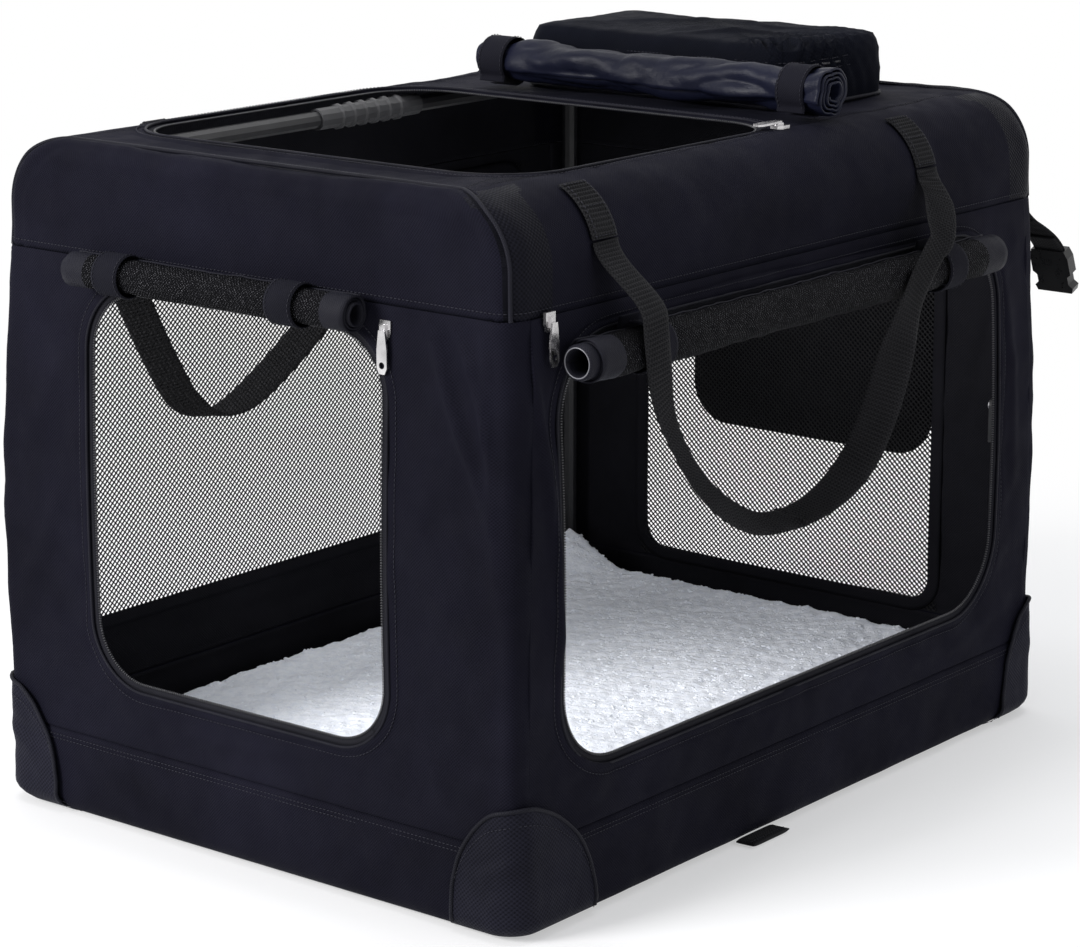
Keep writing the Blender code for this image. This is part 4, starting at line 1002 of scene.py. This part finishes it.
def corner_patch(end, side, name, node, scale):
    """Patch wrapped round a lower corner, with a bound edge that curves up to a point."""
    kind = "front" if end < 0 else "rear"
    way = SIDES[side][1]
    edge = curve_through(PATCH_EDGE + [(x * scale, z) for x, z in PATCH_LONG_EDGE], 10)
    edge = resample(edge, count=PATCH_COUNT)
    foot = FOOT_R * 0.15
    z = foot + (edge[:, 1] - foot) * np.linspace(0, 1, PATCH_ROWS)[:, None]
    d = np.broadcast_to(edge[:, 0], z.shape)
    a = way * (half_y(z) - corner_r(z) + corner_r(z) * math.pi / 4 + d)
    spot = np.stack([d.ravel(), z.ravel()], 1)
    lift = 0.0030 + waves(spot, 0.05, 51 + way + end) * 0.0005 + waves(spot, 0.018, 55) * 0.0002
    fold = spot[:, 1] - 0.056 - 0.5 * np.maximum(spot[:, 0] + 0.010, -0.02)
    lift -= 0.0011 * bell(fold, 0, 0.0032) * bell(spot[:, 0], -0.016, 0.014)
    lift += 0.0013 * bell(fold, -0.0085, 0.0040) * bell(spot[:, 0], -0.012, 0.014)
    lift -= 0.0009 * bell(fold, -0.022, 0.0050) * bell(spot[:, 0], -0.010, 0.014)
    lift += 0.0007 * bell(spot[:, 0], 0.006, 0.0035) * bell(spot[:, 1], 0.045, 0.02)
    lift *= 0.35 + 0.65 * smooth(spot[:, 1] / 0.014)
    grid = proud(kind, a.ravel(), z.ravel(), lift).reshape(*z.shape, 3)
    shape = Shape().add(grid, grid_faces(*z.shape, flip=(way > 0) == (end < 0)), spot)
    outer = skin_out(kind, a[-1], z[-1])
    above = grid[-1][:, 2] > 0.0045
    tube(shape, (grid[-1] + outer * 0.0001)[above], PIPING_R, up=outer[above], slot=1)
    low = PATCH_ROWS - 4
    out = skin_out(kind, a[low], z[low])
    stitches(shape, curve_through(grid[low][::4], 4) + out[PATCH_COUNT // 2] * 0.0002,
             resample(out, count=200), slot=2)
    settle(shape.build(name, [PATCH, PIPING, THREAD]), "base", node)


for end, end_name, scale in ((-1, "front", 1.0), (1, "rear", 0.048 / 0.078)):
    for side in ("near", "far"):
        corner_patch(end, side, f"cloth_patch_{end_name}_{side}",
                     f"corner_patch_{end_name}_{side}", scale)


def line_out(loop):
    """Outward directions of a level loop."""
    return unit(np.cross(tangents(loop, True), UP))


for name, levels, body, slot_name in (
        ("base_seam_stitches", (LOW_SEAM - 0.0050, LOW_SEAM - 0.0078), "base", "base_polyester"),
        ("roof_seam_stitches", (HIGH_SEAM + 0.0050,), "roof", "navy_polyester")):
    shape = Shape()
    for z in levels:
        loop = at_height(section(z, (260, 200, 260, 200), 0.0001), z)
        stitches(shape, loop, line_out(loop), closed=True)
    settle(shape.build(name, [THREAD]), body)


# Webbing: handles, their sewn ends, rear strap and ground tab

WEB_WIDE = 0.0250
HANDLE_TOP, HANDLE_DROP = 0.425, 0.200
# Each handle's line seen from its side: (along, height)
LOOPS = {
    "near": [(-.210, .425), (-.2098, .417), (-.2092, .404), (-.205, .366), (-.196, .322),
             (-.172, .283), (-.140, .253), (-.102, .233), (-.060, .2265), (-.018, .232),
             (.018, .250), (.044, .280), (.064, .318), (.086, .356), (.118, .388),
             (.1440, .406), (.1496, .417), (.150, .425)],
    "far": [(-.180, .425), (-.1798, .417), (-.176, .396), (-.162, .355), (-.141, .312),
            (-.118, .270), (-.096, .238), (-.070, .2245), (-.040, .2270), (-.004, .2440),
            (.040, .2720), (.088, .3080), (.134, .3480), (.166, .3860), (.1780, .4080),
            (.180, .417), (.180, .425)],
}


def handle(side):
    """A hanging loop, which twists as it hangs."""
    way = SIDES[side][1]
    run = resample(curve_through(LOOPS[side], 12), step=0.00052)
    share = np.clip((HANDLE_TOP - run[:, 1]) / HANDLE_DROP, 0, 1)
    y = 0.2179 + (0.2538 - 0.2179) * smooth(share * 4.5)
    path = np.column_stack([run[:, 0], way * y, run[:, 1]])
    t = tangents(path)
    if side == "near":
        turn = smooth((share - 0.36) / 0.30) * (22 - 68 * smooth((run[:, 0] + 0.085) / 0.070))
    else:
        turn = -46 * smooth((share - 0.12) / 0.35)
    turn = np.radians(turn)
    across = np.column_stack([np.cos(turn), np.sin(turn), np.zeros(len(turn))])
    across = unit(across - t * np.sum(across * t, 1, keepdims=True))
    out = np.cross(across, t)
    out = out * np.sign((out[:, 1] * way).mean())
    shape = Shape()
    ribbon(shape, path, across, out, WEB_WIDE, 0.0019, rows=13, ribs=(0.0031, 0.0015),
           crown=0.0004)
    piece = shape.build(f"web_{side}_handle", [WEBBING])
    weld(piece)
    settle(piece, f"{side}_handle", f"{side}_handle")


def handle_end(side, x, which):
    """Sewn end over the roof's shoulder, with box stitching."""
    way = SIDES[side][1]
    arc = np.linspace(math.radians(3), math.radians(66), 110)
    radius = SHOULDER_R + 0.0016
    cy, cz = float(half_y(TOP - SHOULDER_R)) - SHOULDER_R, TOP - SHOULDER_R
    path = np.column_stack([np.full(len(arc), x), way * (cy + radius * np.cos(arc)),
                            cz + radius * np.sin(arc)])
    path = path[path[:, 2] > 0.4262]
    out = unit(np.column_stack([np.zeros(len(path)), path[:, 1] - way * cy, path[:, 2] - cz]))
    across = np.tile([1.0, 0, 0], (len(path), 1))
    shape = Shape()
    ribbon(shape, path, across, out, 0.0252, 0.0018, rows=13, ribs=(0.0031, 0.0014))
    edge_stitches(shape, path[3:-5], across[3:-5], out[3:-5], 0.0012)
    for row in (4, len(path) // 2, len(path) - 7):
        cross_stitches(shape, path[row], (1.0, 0, 0), out[row])
    piece = shape.build(f"web_{side}_tab_{which}", [WEBBING, THREAD])
    weld(piece)
    settle(piece, "roof", f"{side}_handle_tab_{which}")


for side, places in (("near", (-0.210, 0.150)), ("far", (-0.180, 0.180))):
    handle_end(side, places[0], "front")
    handle_end(side, places[1], "rear")
    handle(side)


def rear_strap():
    """Short strap that stands off the rear wall, with its end folded back under the buckle."""
    points = [(.3008, .4060), (.3012, .3960), (.3035, .3860), (.3110, .3740), (.3240, .3640),
              (.3400, .3560), (.3540, .3480), (.3640, .3400), (.3700, .3330)]
    line = resample(curve_through(points, 10), step=0.00055)
    path = np.column_stack([line[:, 0] + 0.0012, np.full(len(line), -0.190), line[:, 1]])
    across = np.tile([0, 1.0, 0], (len(path), 1))
    out = np.cross(across, tangents(path))
    if out[len(out) // 2, 2] < 0:
        out = -out
    shape = Shape()
    ribbon(shape, path, across, out, 0.0248, 0.0018, rows=13, ribs=(0.0023, 0.0010), crown=0.0003)
    row = np.argmin(np.abs(lengths_along(path) - 0.006))
    cross_stitches(shape, path[row], (0, 1.0, 0), out[row], 0.010)
    keep = int(len(path) * 0.80)
    ribbon(shape, path[keep:] - out[keep:] * 0.0021, across[keep:], out[keep:], 0.0244, 0.0016,
           ribs=(0.0023, 0.0005))
    piece = shape.build("web_rear_strap", [WEBBING, THREAD])
    weld(piece)
    settle(piece, "rear_strap", "rear_strap")


rear_strap()

# Ground tab, which sticks out from under the near side
t = np.linspace(0, 1, 40)
line = np.column_stack([np.full(40, -0.050), np.linspace(-0.2225, -0.2362, 40),
                        0.0016 + t ** 2 * 0.0004])
shape = Shape()
ribbon(shape, line, np.tile([1.0, 0, 0], (40, 1)), np.tile(UP, (40, 1)), 0.042, 0.0022, rows=15,
       ribs=(0.0023, 0.0005))
stitches(shape, np.column_stack([np.linspace(-0.068, -0.032, 30), np.full(30, -0.2330),
                                 np.full(30, 0.0031)]), UP, slot=1)
tab = shape.build("web_ground_tab", [WEBBING, THREAD])
weld(tab)
settle(tab, "base", "ground_tab")


# Rolled doors, the rolled flap and their strips

FRONT_ROLL, SIDE_ROLL, TOP_ROLL = (-0.3148, 0.3822), (-0.2372, 0.3602), (0.0838, 0.4806)
STRIP_WIDE, STRIP_THICK = 0.0225, 0.0011


def rolled(name, node, axis, centre, low, high, inner, outer, turns, start, thick, materials,
           seed, wrinkle, dents, steps, cuff=0.014, flare=(0.0, 0.0), count=150,
           step=0.0045, facets=0.0):
    """A rolled sheet: one real spiral carried along the roll, with uneven ends and wrinkles."""
    t = np.linspace(0, 1, count)
    angle = math.radians(start) + (t - 1) * turns * 2 * math.pi
    r0 = inner + (outer - inner) * t ** 0.92
    n = max(8, int((high - low) / step))
    u = np.linspace(0, 1, n)
    along = low + (high - low) * u
    spot = np.stack([np.broadcast_to(along[:, None], (n, count)).ravel(),
                     (np.sin(angle) * outer)[None].repeat(n, 0).ravel(),
                     (np.cos(angle) * outer)[None].repeat(n, 0).ravel()], 1)
    bulk = waves(spot, 0.050, seed + 1).reshape(n, count) * wrinkle
    bulk += waves(spot, 0.016, seed + 2).reshape(n, count) * wrinkle * 0.55
    if facets:
        fold = waves(spot * (0.6, 1.3, 1.3), 0.034, seed + 5, 1).reshape(n, count)
        bulk += np.abs(fold) * facets - facets * 0.5
    radius = r0[None] + bulk * (0.35 + 0.65 * t[None])
    for place, deep, wide in dents:
        radius -= (deep * bell(along, place, wide))[:, None] * t[None]
    radius += (flare[0] * bell(u, 0, 0.03) + flare[1] * bell(u, 1, 0.03))[:, None]
    slide = np.zeros((n, count)) + along[:, None]
    end_low, end_high = 1 - smooth(u / 0.12), smooth((u - 0.88) / 0.12)
    draw = np.random.default_rng(seed)
    uneven = np.interp(t, np.linspace(0, 1, 7), draw.uniform(-0.0016, 0.0016, 7))
    slide += end_low[:, None] * (uneven - steps[0] * (1 - t))[None]
    slide += end_high[:, None] * (np.roll(uneven, 11) + steps[1] * (1 - t))[None]
    first = centre[0] + np.cos(angle)[None] * radius
    rise = centre[1] + np.sin(angle)[None] * radius
    points = np.stack([slide, first, rise] if axis == "x" else [first, slide, rise], 2)
    run = np.concatenate([[0], np.cumsum(np.abs(np.diff(angle)) * (r0[1:] + r0[:-1]) / 2)])
    uv = uv_grid(along[:, None], run[None])
    faces = grid_faces(n, count)
    row, column = np.repeat(np.arange(n - 1), count - 1), np.tile(np.arange(count - 1), n - 1)
    middle = (along[row] + along[row + 1]) / 2
    bound = (middle < low + cuff) | (middle > high - cuff) | (column > count - 9)
    shape = Shape().add(points, faces[~bound], uv, 0).add(points, faces[bound], uv, 1)
    roll = shape.build(name, materials)
    weld(roll, 0.0000005, outward=False)
    finish_sheet(roll, thick, 0.0, 0)
    settle(roll, "roof", node)


def strip_round(name, node, axis, centre, radius, at, tail, start, sweep_by):
    """A strip wrapped round a roll, whose tail runs up to where it is sewn."""
    a = np.radians(np.linspace(start, start + sweep_by, 60))
    r = radius + 0.0006 + STRIP_THICK / 2
    loop = np.stack([centre[0] + r * np.cos(a), centre[1] + r * np.sin(a)], 1)
    line = resample(curve_through(np.concatenate([loop, tail])[::3], 6), step=0.0009)
    place = 0 if axis == "x" else 1
    path = np.insert(line, place, at, axis=1)
    across = np.tile(np.eye(3)[place], (len(line), 1))
    out = np.cross(across, tangents(path))
    mid = len(path) // 3
    if out[mid] @ (path[mid] - np.insert(centre, place, at)) < 0:
        out = -out
    shape = Shape()
    ribbon(shape, path, across, out, STRIP_WIDE, STRIP_THICK)
    edge_stitches(shape, path[4:-4], across[4:-4], out[4:-4], 0.0007)
    band = shape.build(name, [BAND, THREAD])
    weld(band)
    settle(band, "roof", node)


def turned(name, profile, material):
    """A round piece on the side roll's own axis, from (along, radius) pairs."""
    a = np.linspace(0, 2 * math.pi, 44, endpoint=False)
    rings = np.array([[(x, SIDE_ROLL[0] + r * math.cos(t), SIDE_ROLL[1] + r * math.sin(t))
                       for t in a] for x, r in profile])
    shape = Shape().add(rings, grid_faces(len(profile), len(a), close_columns=True),
                        uv_grid(a[None] * 0.01, np.array(profile)[:, :1]))
    return settle(shape.build(name, [material]), "roof")


rolled("rolled_front_door", "front_door_roll", "y", FRONT_ROLL, -0.1065, 0.1355,
       0.0062, 0.0118, 3.0, 60, 0.0011, [ROLLED, PIPING],
       seed=3, wrinkle=0.0007, cuff=0.020, steps=(0.0025, 0.0015),
       dents=((-0.056, 0.0009, 0.012), (0.094, 0.0009, 0.012), (0.02, 0.0006, 0.02)))
rolled("rolled_side_door", "side_door_roll", "x", SIDE_ROLL, -0.2560, 0.2045,
       0.0086, 0.0140, 3.0, 60, 0.0012, [ROLLED, PIPING],
       seed=9, wrinkle=0.0008, cuff=0.024, steps=(-0.004, 0.003),
       dents=((-0.194, 0.0012, 0.014), (0.140, 0.0010, 0.014), (-0.06, 0.0006, 0.03)))

# Inner sleeve that sticks out of the side roll's front end, and a thin light grey ring in its bore
# that is a painted glint
sleeve = turned("side_roll_sleeve", [
    (-0.2440, 0.0079), (-0.2600, 0.0081), (-0.2620, 0.0086), (-0.2624, 0.0097),
    (-0.2618, 0.0107), (-0.2600, 0.0111), (-0.2570, 0.0110), (-0.2440, 0.0108)], PIPING)
finish_sheet(sleeve, 0.0003, offset=0.0, inner=0)
ring = turned("side_roll_painted_glint", [(-0.2624 - 0.0004 * math.cos(q), 0.0093 + 0.0004 * math.sin(q))
                                for q in np.linspace(0, 2 * math.pi, 9)], PAINTED_GLINT)
weld(sleeve)
weld(ring)

rolled("rolled_top_flap", "top_flap_roll", "y", TOP_ROLL, -0.1835, 0.1135,
       0.0040, 0.0160, 4.0, 200, 0.0013, [SATIN, SATIN],
       seed=17, wrinkle=0.0011, facets=0.0034, steps=(0.003, 0.004), flare=(0.0012, 0.0015),
       dents=((-0.160, 0.0026, 0.010), (0.100, 0.0040, 0.012), (0.02, 0.0012, 0.03)),
       count=210, step=0.0026)

# Strips: the roll's axis, middle and radius, the strips' places, their tail and how far they wrap
for kind, axis, centre, radius, places, tail, start, sweep_by in (
        ("front", "y", FRONT_ROLL, 0.0124, (0.094, -0.056),
         [(-.3046, .3935), (-.3042, .3965), (-.3040, .3990)], -320, 345),
        ("side", "x", SIDE_ROLL, 0.0146, (-0.194, 0.140),
         [(-.2248, .3780), (-.2238, .3860), (-.2236, .3925)], -300, 335),
        ("top", "y", TOP_ROLL, 0.0158, (-0.160, 0.100),
         [(.0690, .4668), (.0650, .4622), (.0620, .4618)], -100, 325)):
    for k, at in enumerate(places, 1):
        strip_round(f"{kind}_strip_{k}", f"{kind}_roll_band_{k}", axis, centre, radius, at, tail,
                    start, sweep_by)


# Pouch on the roof

POUCH_AT = dict(x=(0.1060, 0.2330), y=(-0.1310, 0.1010), r=0.019)
# Its section: height, and how far it stands out there
POUCH_SIDE = ((0.0, 0.0005), (0.003, 0.0012), (0.010, 0.0018), (0.018, 0.0020), (0.026, 0.0018),
              (0.033, 0.0008), (0.038, -0.0016), (0.0410, -0.0050), (0.0424, -0.0095))
POUCH_RUNS = (([(.125, .080), (.165, .030), (.190, -.040)], .007, .0018),
              ([(.140, -.070), (.175, -.020), (.205, .050)], .006, .0014),
              ([(.118, -.020), (.150, -.060), (.170, -.105)], .005, .0022),
              ([(.205, -.100), (.185, -.060), (.200, -.010)], .005, .0014))


def make_pouch():
    base_z = TOP + 0.0012
    rings = [at_height(grown(POUCH_AT, grow, (70, 110, 70, 110)), base_z + h)
             for h, grow in POUCH_SIDE]
    last = rings[-1][:, :2]
    middle = np.array([np.mean(POUCH_AT["x"]), np.mean(POUCH_AT["y"])])
    for t in np.linspace(0.93, 0.02, 26):
        rings.append(at_height(middle + (last - middle) * t,
                               base_z + 0.0424 + 0.0040 * (1 - t ** 2)))
    points = np.stack(rings)
    shape = Shape().add(points, grid_faces(*points.shape[:2], close_columns=True),
                        ring_uv(points, 3))
    close_fan(shape, points[0])
    close_fan(shape, points[-1], flip=True)
    pouch = shape.build("zipped_roof_pouch", [POUCH])
    weld(pouch)
    p = read(pouch, "co")
    x, y, z = p.T
    h = (z - base_z) / 0.045
    lift = waves(p, 0.120, 61) * 0.0012 + waves(p, 0.040, 62) * 0.0004
    lift += waves(p, 0.014, 63) * 0.0001
    gather = bell(y, -0.122, 0.030) * bell(x, 0.130, 0.060)
    lift += gather * np.sin((x * 0.9 + y * 1.5 + z * 0.5) * 2 * math.pi / 0.0125) * 0.0038
    lift -= 0.0036 * bell(z, base_z + 0.0285, 0.0022) * (h < 0.95)
    lift += 0.0020 * bell(h, 0.92, 0.06)
    for run, wide, high in POUCH_RUNS:
        lift += crease(p[:, :2], run, wide, high) * smooth((h - 0.8) / 0.15)
    return push(pouch, lift * smooth(h * 2.5))


pouch = make_pouch()
settle(pouch, "roof", "roof_pouch")

shape = Shape()
loop = at_height(grown(dict(POUCH_AT, r=0.0199), -0.0014, (140, 230, 140, 230)), TOP + 0.0297)
loop[:, 2] += waves(loop, 0.09, 64) * 0.0006
loop += line_out(loop) * (waves(loop, 0.090, 61) * 0.0012)[:, None]
away = line_out(loop)
teeth(shape, loop + away * 0.0006, away, 0, size=(0.0022, 0.0010, 0.0014))
for rise in (0.00338, -0.00338):
    stitches(shape, loop + UP * rise + away * 0.0015, away, closed=True, slot=1)
settle(shape.build("pouch_zip", [COIL, THREAD]), "roof")

shape = Shape()
tube(shape, at_height(grown(POUCH_AT, 0.0015, (100, 160, 100, 160)), TOP + 0.0022), PIPING_R,
     closed=True)
settle(shape.build("pouch_piping", [PIPING]), "roof")


# Fleece mat

MAT_Z = 0.0530
TUFTS, RIM_TUFTS = 9000, 2600


def mat_top(x, y):
    """Height of the mat's face, which curls up into the rear far corner."""
    rear, far = smooth((x - 0.215) / 0.057), smooth((y - 0.140) / 0.050)
    curl = 0.026 * smooth((x - 0.195) / 0.075) * smooth((y - 0.120) / 0.068)
    return MAT_Z + 0.0055 * rear + 0.0010 * far + curl


def make_mat():
    """The mat's closed body, and the short tufts of fleece that stand on it and at its rim."""
    x0, x1, y0, y1 = -0.268, 0.268, -0.186, 0.186
    nx, ny = 330, 232
    x, y = np.meshgrid(np.linspace(x0, x1, nx), np.linspace(y0, y1, ny), indexing="ij")
    edge = np.minimum(np.minimum(x - x0, x1 - x), np.minimum(y - y0, y1 - y))
    spot = np.stack([x.ravel(), y.ravel()], 1)
    lumps = waves(spot, 0.0240, 81) * 0.0011 + waves(spot, 0.0090, 82) * 0.0004
    lumps += np.random.default_rng(7).normal(size=len(spot)) * 0.00012
    soft = waves(spot, 0.140, 83) * 0.0014
    z = mat_top(x, y) + (lumps + soft).reshape(x.shape)
    z -= 0.0130 * (1 - smooth(edge / 0.012)) ** 2
    top = np.stack([x, y, z], 2)
    under = np.stack([x, y, 0.0265 + 0.86 * (mat_top(x, y) - MAT_Z)], 2)
    uv = np.stack([x, y], 2)
    shape = Shape().add(top, grid_faces(nx, ny), uv).add(under, grid_faces(nx, ny, flip=True), uv)
    for pick, out, flip in ((np.s_[0, :], (-1, 0, 0), False), (np.s_[-1, :], (1, 0, 0), True),
                            (np.s_[:, 0], (0, -1, 0), True), (np.s_[:, -1], (0, 1, 0), False)):
        a, b = top[pick], under[pick]
        rows = [a * (1 - t) + b * t + np.array(out) * 0.0024 * math.sin(math.pi * t)
                for t in np.linspace(0, 1, 5)]
        shape.add(rows, grid_faces(5, len(a), flip=flip), np.zeros((5 * len(a), 2)))

    draw = np.random.default_rng(5)
    px, py = (draw.uniform(low + 0.001, high - 0.001, TUFTS) for low, high in ((x0, x1), (y0, y1)))
    side = draw.integers(0, 4, RIM_TUFTS)    # 0 near, 1 far, 2 front, 3 rear
    s = draw.uniform(0, 1, RIM_TUFTS)
    rim_x = np.where(side < 2, x0 + (x1 - x0) * s, np.where(side == 2, x0, x1))
    rim_y = np.where(side < 2, np.where(side == 0, y0, y1), y0 + (y1 - y0) * s)
    px, py = np.concatenate([px, rim_x]), np.concatenate([py, rim_y])
    side = np.concatenate([np.full(TUFTS, -1), side])
    n, on_rim = len(side), side >= 0
    ix = np.clip(np.round((px - x0) / (x1 - x0) * (nx - 1)).astype(int), 0, nx - 1)
    iy = np.clip(np.round((py - y0) / (y1 - y0) * (ny - 1)).astype(int), 0, ny - 1)
    pz = z[ix, iy] - 0.0014
    pz = np.where(on_rim, pz - draw.uniform(-0.003, 0.006, n), pz)
    heading = draw.uniform(0, 2 * math.pi, n)
    tilt = draw.uniform(0.5, 1.3, n)
    length = draw.uniform(0.0018, 0.0034, n) * np.where(on_rim, 1.45, 0.85)
    fat = draw.uniform(0.0012, 0.0019, n) * np.where(on_rim, 1.25, 1.0)
    out_x, out_y = (side == 3) * 1.0 - (side == 2), (side == 1) * 1.0 - (side == 0)
    way = unit(np.stack([np.cos(heading) * np.sin(tilt) + out_x * 0.8,
                         np.sin(heading) * np.sin(tilt) + out_y * 0.8, np.cos(tilt) + 0.15], 1))
    s1 = unit(np.cross(way, (0.3, 0.2, 1.0)))
    s2 = np.cross(way, s1)
    root = np.stack([px, py, pz], 1)
    bend = np.stack([np.cos(heading + 1.3), np.sin(heading + 1.3), np.full(n, -0.4)], 1)
    spin = np.linspace(0, 2 * math.pi, 5, endpoint=False)
    rings = []
    for t, f in ((0.0, 1.0), (0.45, 0.95), (0.85, 0.55)):
        c = root + way * (length * t)[:, None] + bend * (length * 0.5 * t * t)[:, None]
        rings.append(c[:, None] + (s1[:, None] * np.cos(spin)[None, :, None]
                                   + s2[:, None] * np.sin(spin)[None, :, None])
                     * (fat * f)[:, None, None])
    tip = root + way * length[:, None] + bend * (length * 0.5)[:, None]
    heel = root - way * (length * 0.2)[:, None]
    block = np.concatenate([np.stack(rings, 1).reshape(n, 15, 3), tip[:, None], heel[:, None]], 1)
    k = np.arange(5)
    tufts = Shape().add(block, copies(grid_faces(3, 5, close_columns=True), n, 17),
                        np.zeros((n * 17, 2)))
    for cap in ([10 + k, 10 + (k + 1) % 5, np.full(5, 15)], [(k + 1) % 5, k, np.full(5, 16)]):
        tufts.faces.append((copies(np.stack(cap, 1), n, 17), 0))
    return shape.build("fleece_pad", [FLEECE]), tufts.build("fleece_curls", [FLEECE])


pad, curls = make_mat()
weld(pad)
settle(pad, "mat", "fleece_mat")
settle(curls, "mat")


# Zip round the top opening

top_trim = trim("top_opening_trim", (at_height(grown(ROOF_HOLE, BINDING_AT), TOP + 0.0006), UP),
                (at_height(grown(ROOF_HOLE, STITCHES_AT), TOP + 0.0004), UP),
                at_height(grown(ROOF_HOLE, TAPE_FROM), TOP - 0.0008),
                at_height(grown(ROOF_HOLE, TAPE_TO - 0.0002), TOP - 0.0012), UP)
settle(top_trim, "roof")


# Camera, floor and light

FOCUS = Vector((0.0, 0.0, 0.23))
HEADING, TILT, DISTANCE = 0.674, 0.234, 2.410    # fitted to the photo: radians and metres
PHOTO_WIDE, FOCAL = 1080, 3430                   # pixels
look = Vector((math.cos(HEADING) * math.cos(TILT), math.sin(HEADING) * math.cos(TILT),
               -math.sin(TILT)))
camera_data = bpy.data.cameras.new("camera")
camera = bpy.data.objects.new("camera", camera_data)
scene.collection.objects.link(camera)
camera.location = FOCUS - look * DISTANCE
camera.rotation_mode = "QUATERNION"
camera.rotation_quaternion = look.to_track_quat("-Z", "Y")
camera_data.sensor_width = 36.0
camera_data.lens = 36.0 * FOCAL / PHOTO_WIDE
camera_data.shift_x, camera_data.shift_y = -0.0007, -0.0321
camera_data.clip_start, camera_data.clip_end = 0.05, 60.0
scene.camera = camera

# Sky: white to the camera and in reflections and glass, greyer as a light
world = bpy.data.worlds.new("studio")
scene.world = world
world.use_nodes = True
tree = world.node_tree
rays = add_node(tree, "LightPath").outputs
eye = math_node(tree, "MAXIMUM", rays["Is Camera Ray"], rays["Is Glossy Ray"])
eye = math_node(tree, "MAXIMUM", eye, rays["Is Transmission Ray"])
sky = tree.nodes["Background"]
tree.links.new(mix_colour(tree, eye, (0.42, 0.43, 0.46), (1.0, 1.0, 1.0)), sky.inputs["Color"])
sky.inputs["Strength"].default_value = 1.0

# Floor: white that takes a shadow near the crate, and turns into a plain white glow far off
floor_mesh = bpy.data.meshes.new("floor")
floor_mesh.from_pydata([(-30, -30, -0.0006), (30, -30, -0.0006), (30, 30, -0.0006),
                        (-30, 30, -0.0006)], [], [(0, 1, 2, 3)])
floor = bpy.data.objects.new("floor", floor_mesh)
scene.collection.objects.link(floor)
material, tree, shader = start_material("floor_white", Roughness=0.9, IOR=1.1,
                                        Specular_IOR_Level=0.0)
shader.inputs["Base Color"].default_value = (0.92, 0.92, 0.92, 1)
reach = add_node(tree, "VectorMath", operation="LENGTH")
tree.links.new(coordinates(tree, "Object"), reach.inputs[0])
far_off = ramp(tree, math_node(tree, "MULTIPLY", reach.outputs["Value"], 0.5),
               0.28, 0.0, 0.50, 1.0)
white = add_node(tree, "Emission")
glow = add_node(tree, "Emission", Strength=1.0)
lit = add_node(tree, "MixShader", Fac=0.42)
both = add_node(tree, "MixShader")
for source, target in ((shader.outputs[0], lit.inputs[1]), (glow.outputs[0], lit.inputs[2]),
                       (far_off, both.inputs[0]), (lit.outputs[0], both.inputs[1]),
                       (white.outputs[0], both.inputs[2]),
                       (both.outputs[0], tree.nodes["Material Output"].inputs["Surface"])):
    tree.links.new(source, target)
floor_mesh.materials.append(material)


def lamp(name, place, aim, size, power, colour=(1, 1, 1)):
    data = bpy.data.lights.new(name, "AREA")
    data.shape = "RECTANGLE"
    data.size, data.size_y = size
    data.energy, data.color = power, colour
    obj = bpy.data.objects.new(name, data)
    scene.collection.objects.link(obj)
    obj.location = place
    obj.rotation_mode = "QUATERNION"
    obj.rotation_quaternion = (Vector(aim) - Vector(place)).to_track_quat("-Z", "Y")


lamp("key", (-3.0, 1.1, 1.7), (0, 0, 0.2), (1.3, 1.3), 135, (1.0, 0.99, 1.0))
lamp("fill", (-0.2, -4.0, 1.8), (0, 0, 0.2), (2.5, 2.0), 34)
lamp("top", (0.2, 0.2, 3.6), (0, 0, 0.3), (2.5, 2.5), 60)

scene.view_settings.view_transform = "Standard"
